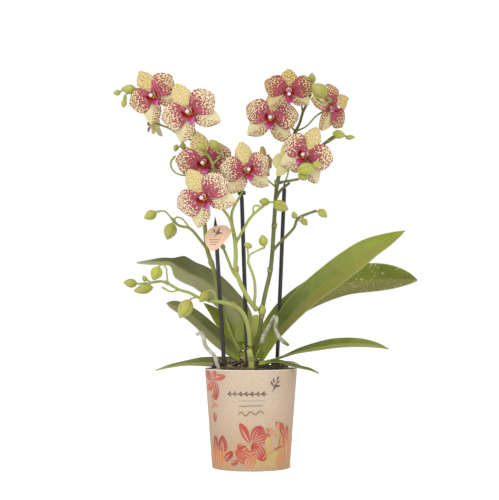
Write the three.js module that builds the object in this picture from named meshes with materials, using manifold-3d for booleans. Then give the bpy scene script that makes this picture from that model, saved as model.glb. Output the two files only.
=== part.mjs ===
// A small branching moth orchid in a cardboard pot sleeve, in millimetres.
// +Z is up, the viewer looks along +Y, and the origin is the middle of the sleeve's flat bottom.
import * as THREE from 'three';
import { mergeVertices } from 'three/addons/utils/BufferGeometryUtils.js';
import Module from 'manifold-3d';

const wasm = await Module();
wasm.setup();

// ---- driving sizes ----
const gap = 0.3; // between pieces that touch
const stalkGap = 0.8; // from the middle of a stalk's end to what it carries
const sleeveHeight = 98;
const sleeveRimDiameter = 92;
const sleeveBaseDiameter = 77;
const sleeveWall = 0.8;
const sleeveFloor = 1.2;
const growPotClearance = 0.5; // growing pot to sleeve
const growPotWall = 0.8;
const growPotBelowRim = 1.6;
const drainHoleDiameter = 9;
const drainHoleCount = 5;
const drainHoleReach = 0.6; // how far out they are, as a share of the base radius
const soilBelowRim = 3.4;
const soilMound = 4.5; // how far the middle of the bark stands above its edge
const stakeDiameter = 4;
const stakeFootHeight = 25; // how high above the table the stakes' lower ends are
const stakePointLength = 12;
const tagThickness = 0.6;
const clipHeight = 4;
const clipWall = 1.5;
const stemDiameter = 4.6;
const branchDiameter = 3;
const pedicelDiameter = 2.2;
const rootDiameter = 4.2;
const leafThickness = 1.8;
const tepalThickness = 1.1;
const sepalLength = 28;
const sepalWidth = 18;
const petalLength = 26;
const petalWidth = 25;
const lipLength = 13;
const lipThickness = 1.4;
const columnLength = 7;
const columnWidth = 4.6;
const sideLobeLength = 7.5;
const sideLobeWidth = 2.6;
const plantDatum = 98; // heights on the plant are given for a rim at this height

// ---- colours ----
const colours = {
  kraft: 0xdcbf98, plastic: 0x2a2a2c, bark: 0x6b5038, stake: 0x2a2530, card: 0xefb48f,
  leaf: 0x66783a, youngLeaf: 0x8ea452, stem: 0x97a64a, bud: 0xa9b850, root: 0xc9ccc2,
  tepal: 0xe3c9a0, lip: 0x9c1d4c, clip: 0x1c1b20, cut: 0xb9bd5e,
};

function finish(colour, roughness) {
  return new THREE.MeshStandardMaterial({ color: colour, roughness, metalness: 0 });
}

function part(name, geometry, colour, roughness = 0.55) {
  const mesh = new THREE.Mesh(geometry, finish(colour, roughness));
  mesh.name = name;
  return mesh;
}

// ---- joining and cutting ----
function solid(geometry) {
  const bare = geometry.clone();
  bare.deleteAttribute('normal');
  bare.deleteAttribute('uv');
  const merged = mergeVertices(bare, 1e-3);
  return new wasm.Manifold(new wasm.Mesh({
    numProp: 3,
    vertProperties: new Float32Array(merged.attributes.position.array),
    triVerts: new Uint32Array(merged.index.array),
  }));
}

function geometryOf(body) {
  const mesh = body.getMesh();
  const geometry = new THREE.BufferGeometry();
  geometry.setAttribute('position', new THREE.BufferAttribute(new Float32Array(mesh.vertProperties), 3));
  geometry.setIndex(new THREE.BufferAttribute(new Uint32Array(mesh.triVerts), 1));
  geometry.computeVertexNormals();
  return geometry;
}

function join(geometries) {
  return geometries.map(solid).reduce((whole, next) => whole.add(next));
}

// ---- basic shapes ----
function vector(point) {
  return new THREE.Vector3(...point);
}

function revolve(profile, segments = 48) {
  const points = profile.map(([radius, height]) => new THREE.Vector2(radius, height));
  return new THREE.LatheGeometry(points, segments).rotateX(Math.PI / 2);
}

function roundSection(diameter, sides) {
  const shape = new THREE.Shape();
  for (let i = 0; i < sides; i += 1) {
    const angle = (2 * Math.PI * i) / sides;
    const x = (diameter / 2) * Math.cos(angle);
    const y = (diameter / 2) * Math.sin(angle);
    if (i === 0) shape.moveTo(x, y);
    else shape.lineTo(x, y);
  }
  shape.closePath();
  return shape;
}

function tube(route, diameter, sides = 6, stepLength = 12) {
  const curve = new THREE.CatmullRomCurve3(route.map(vector), false, 'centripetal');
  const steps = Math.max(2, Math.round(curve.getLength() / stepLength));
  return new THREE.ExtrudeGeometry(roundSection(diameter, sides), { extrudePath: curve, steps });
}

function rod(from, to, diameter, sides = 8) {
  const curve = new THREE.LineCurve3(vector(from), vector(to));
  return new THREE.ExtrudeGeometry(roundSection(diameter, sides), { extrudePath: curve, steps: 1 });
}

// An egg shape around a centre, long along a direction.
function egg(centre, direction, length, width, around = 5, along = 4) {
  const turn = new THREE.Quaternion().setFromUnitVectors(
    new THREE.Vector3(0, 1, 0), vector(direction).normalize());
  const geometry = new THREE.SphereGeometry(0.5, around, along);
  geometry.scale(width, length, width);
  geometry.applyQuaternion(turn);
  return geometry.translate(...centre);
}

// A thin curved plate along a middle line. point(u) runs from base to tip, facing(u) is the side it
// shows, halfWidth(u) its outline, and rise(u, v) how far it stands off the middle line.
function blade({ point, facing, halfWidth, thickness, rise, lengthSegments, widthSegments }) {
  const box = new THREE.BoxGeometry(1, 1, 1, widthSegments, 1, lengthSegments);
  const position = box.attributes.position;
  const step = 0.01;
  for (let i = 0; i < position.count; i += 1) {
    const v = position.getX(i) * 2;
    const side = position.getY(i);
    const u = position.getZ(i) + 0.5;
    const here = point(u);
    const tangent = point(Math.min(1, u + step)).sub(point(Math.max(0, u - step))).normalize();
    const normal = facing(u);
    normal.addScaledVector(tangent, -normal.dot(tangent)).normalize();
    const across = new THREE.Vector3().crossVectors(normal, tangent);
    here.addScaledVector(across, v * halfWidth(u));
    here.addScaledVector(normal, rise(u, v) + side * thickness);
    position.setXYZ(i, here.x, here.y, here.z);
  }
  return box;
}

// ---- pot ----
const rimRadius = sleeveRimDiameter / 2;
const baseRadius = sleeveBaseDiameter / 2;

function sleeveInner(height) {
  return baseRadius + ((rimRadius - baseRadius) * height) / sleeveHeight - sleeveWall;
}

const growPotFoot = sleeveFloor + gap;
const growPotRim = sleeveHeight - growPotBelowRim;
const soilFoot = growPotFoot + growPotWall + gap;
const soilEdge = sleeveHeight - soilBelowRim;

function growPotOuter(height) {
  return sleeveInner(height) - growPotClearance;
}

function soilRadius(height) {
  return growPotOuter(height) - growPotWall - gap;
}

function sleeve() {
  return revolve([
    [0, 0],
    [baseRadius, 0],
    [rimRadius, sleeveHeight],
    [sleeveInner(sleeveHeight), sleeveHeight],
    [sleeveInner(sleeveFloor), sleeveFloor],
    [0, sleeveFloor],
  ]);
}

function growPot() {
  const floorTop = growPotFoot + growPotWall;
  const shell = solid(revolve([
    [0, growPotFoot],
    [growPotOuter(growPotFoot), growPotFoot],
    [growPotOuter(growPotRim), growPotRim],
    [growPotOuter(growPotRim) - growPotWall, growPotRim],
    [growPotOuter(floorTop) - growPotWall, floorTop],
    [0, floorTop],
  ], 36));
  let pot = shell;
  for (let i = 0; i < drainHoleCount; i += 1) {
    const angle = (2 * Math.PI * i) / drainHoleCount;
    const reach = baseRadius * drainHoleReach;
    const x = reach * Math.cos(angle);
    const y = reach * Math.sin(angle);
    pot = pot.subtract(solid(rod([x, y, growPotFoot - 1], [x, y, floorTop + 1], drainHoleDiameter)));
  }
  return geometryOf(pot);
}

// ---- stakes, clip and label ----
const liftToRim = sleeveHeight - plantDatum;

const stakes = {
  stake_left: { foot: [-22, -8], top: [-35.5, -22, 248] },
  stake_middle: { foot: [-1, -16], top: [-9.5, -13, 277] },
  stake_right: { foot: [23, 12], top: [34, 8, 287] },
};

function stakeEnds(name) {
  const { foot, top } = stakes[name];
  return [vector([foot[0], foot[1], stakeFootHeight]), vector([top[0], top[1], top[2] + liftToRim])];
}

function stakePointAt(name, height) {
  const [foot, top] = stakeEnds(name);
  return foot.clone().lerp(top, (height + liftToRim - foot.z) / (top.z - foot.z));
}

function stakeLine(name, diameter) {
  const [foot, top] = stakeEnds(name);
  const length = foot.distanceTo(top);
  const shoulder = foot.clone().lerp(top, 1 - stakePointLength / length);
  const profile = [
    new THREE.Vector2(0, 0),
    new THREE.Vector2(diameter / 2, 0),
    new THREE.Vector2(diameter / 2, foot.distanceTo(shoulder)),
    new THREE.Vector2(0, length),
  ];
  const turn = new THREE.Quaternion().setFromUnitVectors(
    new THREE.Vector3(0, 1, 0), top.clone().sub(foot).normalize());
  return new THREE.LatheGeometry(profile, 8).applyQuaternion(turn).translate(...foot);
}

const shoulderShare = 0.6; // the bark's shoulder, as a share of the rim radius
const shoulderRise = 0.7; // its height, as a share of the mound

// Height of the bark at a distance from the middle, on the scale that the plant's points use.
function soilTop(reach) {
  const shoulder = rimRadius * shoulderShare;
  const shoulderTop = soilEdge + soilMound * shoulderRise;
  const height = reach < shoulder
    ? THREE.MathUtils.mapLinear(reach, 0, shoulder, soilEdge + soilMound, shoulderTop)
    : THREE.MathUtils.mapLinear(reach, shoulder, soilRadius(soilEdge), shoulderTop, soilEdge);
  return height - liftToRim;
}

function soil() {
  let body = solid(revolve([
    [0, soilFoot],
    [soilRadius(soilFoot), soilFoot],
    [soilRadius(soilEdge), soilEdge],
    [rimRadius * shoulderShare, soilEdge + soilMound * shoulderRise],
    [0, soilEdge + soilMound],
  ], 36));
  for (const name of Object.keys(stakes)) {
    body = body.subtract(solid(stakeLine(name, stakeDiameter + 2 * gap)));
  }
  return geometryOf(body);
}

const clipHeightOnStake = 272;
const clipOpening = [-1.2, 4.3]; // the band runs between these angles, in radians

function clip() {
  const centre = stakePointAt('stake_middle', clipHeightOnStake);
  const inner = stakeDiameter / 2 + 2 * gap;
  const [start, end] = clipOpening;
  const band = new THREE.Shape();
  band.absarc(0, 0, inner + clipWall, start, end, false);
  band.absarc(0, 0, inner, end, start, true);
  band.closePath();
  const body = new THREE.ExtrudeGeometry(band, { depth: clipHeight, bevelEnabled: false, curveSegments: 10 });
  body.rotateZ(Math.PI);
  return body.translate(centre.x, centre.y, centre.z - clipHeight / 2);
}

const tagOutline = [[12.5, 7], [8, 12], [0, 12.5], [-8, 9.5], [-13, 3], [-12.5, -5], [-8, -11.5], [-2, -11.5],
  [5, -5], [10, 1]];

const tagHeightOnStake = 226.5;
const tagOffset = 2; // middle of the card to the right of the stake

function tag() {
  const centre = stakePointAt('stake_left', tagHeightOnStake);
  const [first, ...others] = tagOutline.map(([x, y]) => new THREE.Vector2(x, y));
  const outline = new THREE.Shape().moveTo(first.x, first.y).splineThru([...others, first]);
  const extrusion = { depth: tagThickness, bevelEnabled: false, curveSegments: 2 };
  const card = new THREE.ExtrudeGeometry(outline, extrusion);
  card.rotateX(Math.PI / 2);
  const front = centre.y - stakeDiameter / 2 - 2 * gap;
  return card.translate(centre.x + tagOffset, front, centre.z);
}

// ---- flowers ----
// at: middle of the flower. turn: yaw towards the viewer's right, pitch down, roll clockwise (degrees).
// dorsal: length of its top sepal, as a share of the usual one.
const flowers = {
  flower_1: { at: [-96.5, -20, 368], turn: [-12, 8, -34], size: 1.02 },
  flower_2: { at: [-60.5, -32, 350], turn: [-8, 8, -26], size: 1.12 },
  flower_3: { at: [-46.5, -22, 301.5], turn: [-5, 12, -12], size: 1.1 },
  flower_4: { at: [-45.5, -50, 264.5], turn: [-10, 10, -33], size: 1.1 },
  flower_5: { at: [-4.5, -36, 292.5], turn: [15, 5, -12], size: 1 },
  flower_6: { at: [37, -38, 370.5], turn: [0, 36, 0], size: 0.96, dorsal: 0.8 },
  flower_7: { at: [20, -17.5, 346.5], turn: [-8, 8, 12], size: 1.05 },
  flower_8: { at: [81.5, -9, 358], turn: [38, 4, 64], size: 0.92 },
  flower_9: { at: [53.5, -32, 307.5], turn: [-20, 5, 27], size: 1.05 },
  flower_10: { at: [37, -9, 303.5], turn: [160, 0, 10], size: 0.63 },
  flower_11: { at: [13, 4, 304], turn: [50, 0, 0], size: 0.6 },
  flower_12: { at: [-99, 6, 344], turn: [-110, 10, 0], size: 0.62 },
};
const bossRadius = 3.6;
const bossDepth = 3.4;

// angle from straight up, length, half width, how far the tip bends back
const tepals = [
  { angle: 0, length: sepalLength, width: sepalWidth, back: 2 },
  { angle: 76, length: petalLength, width: petalWidth, back: 3 },
  { angle: -76, length: petalLength, width: petalWidth, back: 3 },
  { angle: 135, length: sepalLength, width: sepalWidth, back: 4 },
  { angle: -135, length: sepalLength, width: sepalWidth, back: 4 },
];

function tepalPlate({ angle, length, width, back }) {
  const turn = THREE.MathUtils.degToRad(angle);
  const out = new THREE.Vector3(Math.sin(turn), 0, Math.cos(turn));
  return blade({
    point: (u) => out.clone().multiplyScalar(1.5 + u * (length - 1.5)).setY(back * u * u),
    facing: () => new THREE.Vector3(0, -1, 0),
    halfWidth: (u) => (width / 2) * Math.max(0.16, Math.sin(Math.PI * Math.pow(0.1 + 0.82 * u, 1.25))),
    thickness: tepalThickness,
    rise: (u, v) => -1.2 * v * v * u,
    lengthSegments: 3,
    widthSegments: 2,
  });
}

function tepalGeometry(dorsal = 1) {
  const boss = egg([0, 0, 0], [0, 1, 0], 2 * bossDepth, 2 * bossRadius, 6, 4);
  const [top, ...others] = tepals;
  const plates = [{ ...top, length: top.length * dorsal }, ...others].map(tepalPlate);
  return geometryOf(join([boss, ...plates]));
}

function lipGeometry() {
  const start = bossDepth + gap;
  const column = egg([0, -start - columnLength / 2, 1.2], [0, -1, -0.1], columnLength, columnWidth, 5, 3);
  const lobe = blade({
    point: (u) => new THREE.Vector3(0, -start - 2 - 7 * Math.sin(1.9 * u), 0.5 - lipLength * u),
    facing: () => new THREE.Vector3(0, -1, 0.4),
    halfWidth: (u) => 3.4 - 2.2 * u,
    thickness: lipThickness,
    rise: () => 0,
    lengthSegments: 2,
    widthSegments: 2,
  });
  const sides = [-1, 1].map((side) => egg(
    [side * 3.4, -start - 3.4, -2.6], [side * 0.5, -0.8, 0.5], sideLobeLength, sideLobeWidth, 4, 3));
  return geometryOf(join([column, lobe, ...sides]));
}

function turnOf(turn) {
  const [yaw, pitch, roll] = turn.map(THREE.MathUtils.degToRad);
  return new THREE.Euler(pitch, roll, yaw, 'ZXY');
}

// A point behind a flower, where its pedicel ends.
function backOf(name) {
  const { at, turn, size } = flowers[name];
  const away = new THREE.Vector3(0, bossDepth * size + stalkGap, 0).applyEuler(turnOf(turn));
  return away.add(vector(at)).toArray();
}

// ---- buds that stand on their own pedicel ----
const buds = {
  bud_left_arch: { at: [-80.5, -12, 234], along: [-0.35, 0, -1], length: 18, width: 13 },
  bud_left_tip: { at: [-100, -12, 250], along: [-1, 0, -0.5], length: 14, width: 10 },
  bud_low_large: { at: [-65, -24, 157], along: [-0.6, 0, -1], length: 21, width: 15 },
  bud_low_upper: { at: [-93.5, -21, 192], along: [-0.4, 0, -1], length: 15, width: 12 },
  bud_low_end: { at: [-119, -18, 182.5], along: [-1, 0, 0.1], length: 14, width: 9 },
  bud_top_large: { at: [66, -47, 369], along: [-0.7, 0, 0.6], length: 19, width: 15 },
  bud_middle_large: { at: [29, -32, 257.5], along: [1, 0, -0.5], length: 17, width: 11 },
  bud_middle_round: { at: [12, -28, 224], along: [-0.2, 0, 1], length: 12, width: 9 },
};

function budBase(name) {
  const { at, along, length } = buds[name];
  const reach = vector(along).normalize().multiplyScalar(-(length / 2 + stalkGap));
  return reach.add(vector(at)).toArray();
}

// ---- spikes: routes of each stem, branch and pedicel, with the small buds that close them ----
const knuckle = [11, -18, 156];
const knuckleWidth = 8;
const branchFoot = [knuckle[0] - knuckleWidth / 2 - branchDiameter / 2 - 0.6, knuckle[1] - 3, knuckle[2] + 1];

const spikes = {
  spike_left: {
    stems: [[[-11, -7, 116], [-21, -9, 135], [-28.5, -9.5, 158], [-32, -10, 172], [-37, -10, 196],
      [-43.5, -9, 216], [-46, -9, 240], [-49, -8, 260], [-53, -3, 285], [-55, -2, 310], [-57, -4, 335]]],
    branches: [
      [[-57, -4, 335], [-66, -4, 350], [-78, -5, 362], [-90, -8, 369]],
      [[-90, -8, 369], [-104, -6, 374], [-114, -7, 377]],
      [[-46, -9, 240], [-44, -14, 258], [-38, -27, 278], [-36, -33, 290], [-40, -34, 304], [-49, -36, 314]],
      [[-43.5, -9, 216], [-51, -10, 226], [-61, -10, 237], [-72, -11, 240], [-79, -12, 247]],
      [[-55, -2, 305], [-62, -4, 316], [-69, -6, 319]],
    ],
    pedicels: [
      [[-57, -4, 333], [-58, -14, 347], backOf('flower_2')],
      [[-88, -8, 368], [-93, -10, 369], backOf('flower_1')],
      [[-53, -3, 285], [-51, -7, 297], backOf('flower_3')],
      [[-56, -3, 325], [-70, -1, 330], [-82, 0, 338], backOf('flower_12')],
      [[-37, -34, 299], [-31, -36, 305], [-29, -37, 312], [-33, -37, 316]],
      [[-61, -10, 237], [-68, -12, 246], [-74, -12, 248], budBase('bud_left_arch')],
      [[-79, -12, 247], [-86, -12, 254], budBase('bud_left_tip')],
      [[-54, -3, 295], [-66, -8, 290], [-77, -9, 294], [-80, -9, 303], [-76, -8, 309]],
      [[-114, -7, 377], [-126, -8, 376], [-134, -9, 373]],
      [[-120, -8, 376], [-126, -9, 369], [-127, -9, 361]],
      [[-66, -5, 318], [-72, -7, 319], [-75, -7, 316]],
      [[-66, -5, 318], [-68, -6, 322]],
    ],
    buds: [
      [[-134, -9, 373], [-1, 0, -0.1], 8, 6], [[-122, -8, 376.5], [-1, 0, 0.1], 16, 10],
      [[-127, -9, 362], [-0.2, 0, -1], 9, 6], [[-126, -8, 368], [0, 0, 1], 8, 4],
      [[-49, -37, 315.5], [-1, 0, 0.4], 12, 8], [[-36, -38, 317], [-0.6, 0, 0.7], 13, 10],
      [[-75, -7, 317.5], [-0.4, 0, -1], 8, 5.5], [[-68, -6, 320], [-0.2, 0, 1], 9, 6],
    ],
  },
  spike_middle: {
    stems: [[branchFoot, [0, -26, 163], [-6, -29, 173], [-12, -29, 186], [-15, -28, 196], [-15, -26, 211],
      [-16, -24, 226], [-18, -24, 236]]],
    branches: [
      [[-18, -24, 236], [-22, -28, 247], [-29, -34, 256]],
      [[-18, -24, 236], [-19, -24, 251], [-16, -24, 259], [-12, -23, 266]],
      [[-15, -25, 222], [-8, -26, 234], [-1, -27, 246], [6, -27, 253], [12, -27, 258]],
      [[-12, -29, 186], [-17, -26, 192], [-22, -17, 204], [-28, -11, 219]],
      [[3, -24, 161], [4, -26, 172], [3, -27, 186], [-3, -28, 203]],
    ],
    pedicels: [
      [[-29, -34, 256], [-37, -42, 262], backOf('flower_4')],
      [[-12, -23, 266], [-7, -22, 276], [-5, -24, 290], backOf('flower_5')],
      [[12, -27, 258], [17, -28, 261], budBase('bud_middle_large')],
      [[-3, -28, 203], [-1, -28, 210], [4, -28, 213], budBase('bud_middle_round')],
      [[-3, -28, 203], [-3, -28, 211], [-4, -28, 219]],
      [[2, -27, 250], [3, -28, 258], [8, -29, 258]],
    ],
    buds: [
      [[13, -29, 262], [-1, 0, 0.1], 11, 8], [[-3, -28, 219], [-1, 0, 0.4], 9, 6],
      [[-28, -11, 219], [-0.4, 0, 1], 7, 5],
    ],
  },
  spike_right: {
    stems: [[[1, -8.5, 107], [5, -12, 120], [9, -16, 138], [11, -18, 156], [14.5, -16, 174], [18.5, -14, 191],
      [21, -11, 211], [22, -8, 226], [23, -3, 241], [24, 2, 256], [25, 6, 271], [27, 9, 286], [32, 13, 305],
      [39, 12, 322], [45, 7, 336]]],
    branches: [
      [[45, 7, 336], [49, 3, 344], [52, -2, 354], [56, -12, 362], [59, -24, 372]],
      [[21, -10, 214], [29, -12, 223], [36, -13, 230], [43, -14, 238], [46, -14, 246], [53, -14, 250],
        [64, -15, 254]],
      [[27, 9, 284], [31, -2, 284], [38, -14, 284], [46, -30, 284]],
      [[40, 12, 324], [55, 6, 319], [66, 0, 318], [74, -4, 323], [82, -6, 329]],
      [[25, 4, 268], [30, -3, 276], [38, -8, 282]],
    ],
    pedicels: [
      [[45, 7, 336], [56, 3, 341], [66, -1, 351], backOf('flower_8')],
      [[52, -2, 354], [50, -8, 362], [44, -20, 371], backOf('flower_6')],
      [[45, 7, 336], [36, 4, 345], [26, -8, 349], backOf('flower_7')],
      [[40, 12, 322], [50, -4, 316], backOf('flower_9')],
      [[59, -24, 372], [57, -28, 380], [52, -30, 383]],
      [[59, -24, 372], [60, -28, 378]],
      [[59, -24, 372], [62, -32, 369], [64, -40, 362], [71, -46, 357], [78, -47, 359],
        budBase('bud_top_large')],
      [[46, -14, 246], [51, -14, 243]],
      [[46, -14, 246], [43, -14, 250]],
      [[64, -15, 254], [71, -15, 251]],
      [[46, -30, 284], [50, -37, 286], [54, -43, 293]],
      [[54, -43, 293], [64, -44, 297]],
      [[88, -8, 331], [99, -9, 328]],
      [[70, -2, 320], [78, -6, 324], [84, -7, 328]],
      [[27, 9, 284], [31, -2, 283], [35, -14, 286], [37, -16, 294], backOf('flower_10')],
      [[26, 8, 279], [17, 16, 288], [8, 15, 300], backOf('flower_11')],
    ],
    buds: [
      [[51, -30, 383], [-1, 0, 0.1], 13, 8], [[60, -28, 384], [0, 0, 1], 12, 8],
      [[71, -15, 251.5], [0.7, 0, -0.6], 12, 8], [[53, -14, 243], [0.5, 0, -0.6], 9, 6.5],
      [[43, -14, 250], [-0.3, 0, 1], 8, 6], [[54, -43, 293], [1, 0, 0.2], 19, 12],
      [[50, -36, 286], [-0.4, -0.4, 0.2], 14, 7], [[64, -44, 297], [1, 0, 0.3], 10, 7],
      [[88, -8, 331], [1, 0, -0.2], 14, 9], [[99, -9, 328], [1, 0, 0.1], 10, 5],
      [knuckle, [0, 0, 1], 13, knuckleWidth],
    ],
  },
  spike_low: {
    stems: [[[-1, -22, 122], [-3, -28, 140], [-8, -31.5, 153], [-16, -31, 160], [-29, -28, 163.5],
      [-41, -26, 165]]],
    branches: [
      [[-41, -26, 165], [-51, -24, 168], [-61, -22, 173], [-71, -20, 176], [-82, -19, 182], [-88, -18, 184],
        [-98, -18, 183]],
    ],
    pedicels: [
      [[-98, -18, 183], [-105, -18, 182.5], budBase('bud_low_end')],
      [[-82, -19, 182], [-83, -20, 191], [-83.5, -20, 197], [-87, -20, 201], budBase('bud_low_upper')],
      [[-34, -27, 165], [-36, -31, 173], [-41, -32, 175], [-44, -32, 171]],
      [[-51, -24, 168], [-56, -25, 168], budBase('bud_low_large')],
      [[-71, -20, 176], [-79, -20, 174], [-87, -20, 178]],
      [[-98, -18, 183], [-105, -18, 187]],
      [[-98, -18, 183], [-106, -19, 177]],
    ],
    buds: [
      [[-106, -20, 176.5], [-1, 0, -0.2], 20, 10], [[-46, -32, 169], [-0.6, 0, -0.8], 14, 9],
      [[-105, -18, 187], [-0.5, 0, 1], 7, 5],
    ],
  },
};

function spikeGeometry({ stems, branches, pedicels, buds: small }) {
  return geometryOf(join([
    ...stems.map((route) => tube(route, stemDiameter)),
    ...branches.map((route) => tube(route, branchDiameter, 5)),
    ...pedicels.map((route) => tube(route, pedicelDiameter, 5)),
    ...small.map((bud) => egg(...bud)),
  ]));
}

// ---- leaves ----
// spine from base to tip, widest half width, lean of the upper face to the viewer (degrees), steepness of the
// fold, width at the foot, where it is widest, how blunt the end is, and how much a tail narrows and where
const leaves = {
  leaf_upper_left: {
    spine: [[-7, 12, 124], [-8, 14, 140], [-14, 14, 154], [-27, 13, 168], [-40, 11, 180], [-52, 9, 188],
      [-62, 7, 192.5], [-72, 5, 198.5], [-80, 3, 203.5], [-89, 2, 204.5], [-101, 0, 203.5],
      [-114, -3, 203]],
    half: 19, lean: 40, fold: 0.16, foot: 0.4, peak: 0.55, blunt: 1.5, tail: [0.62, 0.7, 0.78],
  },
  leaf_middle_left: {
    spine: [[-11, 6, 107], [-21, 5, 115], [-31, 4, 124.5], [-41, 3, 134], [-51, 1, 143.5],
      [-61, -1, 151.5], [-71, -3, 157.5], [-84, -6, 162.5]],
    half: 11, lean: 36, fold: 0.2, foot: 0.5, peak: 0.45, blunt: 4,
  },
  leaf_low_left: {
    spine: [[-11, 5, 103], [-23, 5, 103.3], [-36, 4, 103.3], [-51, 2, 103.5], [-66, 0, 102.5],
      [-81, -3, 100], [-95, -6, 96]],
    half: 9, lean: 32, fold: 0.2, foot: 0.8, peak: 0.25, blunt: 0.9, tail: [0.4, 0.4, 0.7],
  },
  leaf_inner_left: {
    spine: [[-8, 17, 116], [-17, 20, 129.5], [-27, 22, 142], [-37, 23, 153], [-48, 22, 163]],
    half: 10, lean: 38, fold: 0.25, foot: 0.7, peak: 0.4, blunt: 1.2,
  },
  leaf_young: {
    spine: [[0, 18, 112], [-3, 26, 124], [-7, 31, 134], [-11, 35, 143]],
    half: 4.5, lean: 34, fold: 0.3, foot: 0.7, peak: 0.4, blunt: 1.3,
  },
  leaf_front_right: {
    spine: [[9, -2, 107], [19, -4, 124.5], [29, -7, 138], [43.5, -10, 155], [58, -12, 169.5],
      [78, -14, 185.5], [98, -15, 201], [118, -16, 215.5], [133, -17, 223.5], [152, -18, 234]],
    half: 15.5, lean: 46, fold: 0.46, foot: 0.3, peak: 0.62, blunt: 1.3,
  },
  leaf_back_right: {
    spine: [[8, 12, 120], [19, 21.5, 134], [35, 27, 151], [50, 30, 162], [71, 32, 173.5], [96, 32, 182.5],
      [127, 30, 186.5], [152, 26, 187], [169, 22, 186]],
    half: 20, lean: 48, fold: 0.5, foot: 0.3, peak: 0.66, blunt: 1.6,
  },
  leaf_low_right: {
    spine: [[11.5, -4, 104], [29, -6, 109.2], [48.5, -8, 115], [68.5, -10, 119.3], [83, -11, 121.8],
      [98, -12, 122.8], [113, -13, 122.3], [126, -14, 120.3], [136, -15, 117.5]],
    half: 10.5, lean: 24, fold: 0.25, foot: -0.45, peak: 0.66, blunt: 1.3,
  },
  leaf_rim_right: {
    spine: [[8, -20, 103], [20, -22, 105], [29, -23, 105], [38.5, -24.5, 102.2], [48, -25, 100],
      [58, -25, 97.8], [66.5, -25, 94]],
    half: 5, lean: 15, fold: 0.2, foot: 0.8, peak: 0.3, blunt: 1.2,
  },
};

function leafOutline({ foot, peak, blunt, tail = [0, 0.5, 1] }, u) {
  if (u < peak) return Math.max(0.12, foot + (1 - foot) * Math.sin((Math.PI / 2) * (u / peak)));
  const end = Math.cos((Math.PI / 2) * Math.pow((u - peak) / (1 - peak), blunt));
  const [less, start, finished] = tail;
  return Math.pow(Math.max(0.03, end), 0.8) * (1 - less * THREE.MathUtils.smoothstep(u, start, finished));
}

function leafGeometry(leaf) {
  const curve = new THREE.CatmullRomCurve3(leaf.spine.map(vector), false, 'centripetal');
  const lean = THREE.MathUtils.degToRad(leaf.lean);
  return blade({
    point: (u) => curve.getPointAt(u),
    facing: () => new THREE.Vector3(0, -Math.sin(lean), Math.cos(lean)),
    halfWidth: (u) => leaf.half * leafOutline(leaf, u),
    thickness: leafThickness,
    rise: (u, v) => leaf.fold * leaf.half * leafOutline(leaf, u) * Math.abs(v) * (1 - 0.6 * u),
    lengthSegments: 10,
    widthSegments: 2,
  });
}

// ---- aerial roots ----
function soilPoint(degrees, inset) {
  const angle = THREE.MathUtils.degToRad(degrees);
  const reach = soilRadius(soilEdge) - inset;
  return [reach * Math.cos(angle), reach * Math.sin(angle), soilEdge + gap + 3 - liftToRim];
}

const roots = {
  root_left: {
    route: [[-53, -14, 132], [-50, -15, 133.5], [-47, -16, 130], [-45, -18, 121], [-41, -19, 116],
      [-37, -20, 112], [-34.5, -20, 108], [-33.5, -19, 103], soilPoint(212, 6)],
    width: rootDiameter,
  },
  root_right_inner: {
    route: [[23, -24, 150], [17, -24, 139], [12, -23, 129], [9.5, -22, 121]], width: rootDiameter,
  },
  root_right_outer: {
    route: [[25, -29, 149], [24, -31, 137], [27, -32, 130], [32, -33, 125], [36, -33, 122]],
    width: rootDiameter,
  },
  root_rim: {
    route: [[22, 2, 103], [34, -2, 104.5], [42, -5, 104], [50, -8, 100]], width: pedicelDiameter,
  },
};

// ---- crown ----
const crownRoute = [[-1, 3, soilTop(0) + 3 * gap], [0, 3, 112], [2, 3, 128], [5, 3, 148]];
const crownDiameter = 11;
const stubRoute = [[0.5, -25, soilTop(25) + 2.4 * gap], [0, -25, 107], [-1.5, -25, 116]];
const stubDiameter = 6.4;

// ---- assembly ----
const plant = new THREE.Group();
plant.position.z = liftToRim;
plant.add(part('crown', tube(crownRoute, crownDiameter, 10), colours.youngLeaf));
plant.add(part('cut_spike_stub', tube(stubRoute, stubDiameter, 8), colours.cut));
for (const [name, leaf] of Object.entries(leaves)) {
  plant.add(part(name, leafGeometry(leaf), colours.leaf, 0.4));
}
for (const [name, { route, width }] of Object.entries(roots)) {
  plant.add(part(name, tube(route, width), colours.root, 0.6));
}
for (const [name, spike] of Object.entries(spikes)) {
  plant.add(part(name, spikeGeometry(spike), colours.stem));
}
for (const [name, { at, along, length, width }] of Object.entries(buds)) {
  plant.add(part(name, egg(at, along, length, width, 8, 6), colours.bud));
}
for (const [name, { at, turn, size, dorsal }] of Object.entries(flowers)) {
  const flower = new THREE.Group();
  flower.position.set(...at);
  flower.rotation.copy(turnOf(turn));
  flower.scale.setScalar(size);
  flower.add(part(`${name}_tepals`, tepalGeometry(dorsal), colours.tepal));
  flower.add(part(`${name}_lip`, lipGeometry(), colours.lip));
  plant.add(flower);
}

const orchid = new THREE.Group();
orchid.add(part('pot_sleeve', sleeve(), colours.kraft, 0.9));
orchid.add(part('grow_pot', growPot(), colours.plastic, 0.4));
orchid.add(part('bark_substrate', soil(), colours.bark, 0.95));
for (const name of Object.keys(stakes)) {
  orchid.add(part(name, stakeLine(name, stakeDiameter), colours.stake, 0.45));
}
orchid.add(part('stake_clip', clip(), colours.clip, 0.4));
orchid.add(part('label_tag', tag(), colours.card, 0.7));
orchid.add(plant);

export default orchid;
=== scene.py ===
import math
import random

import bmesh
import bpy
from mathutils import Matrix, Vector, noise


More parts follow.
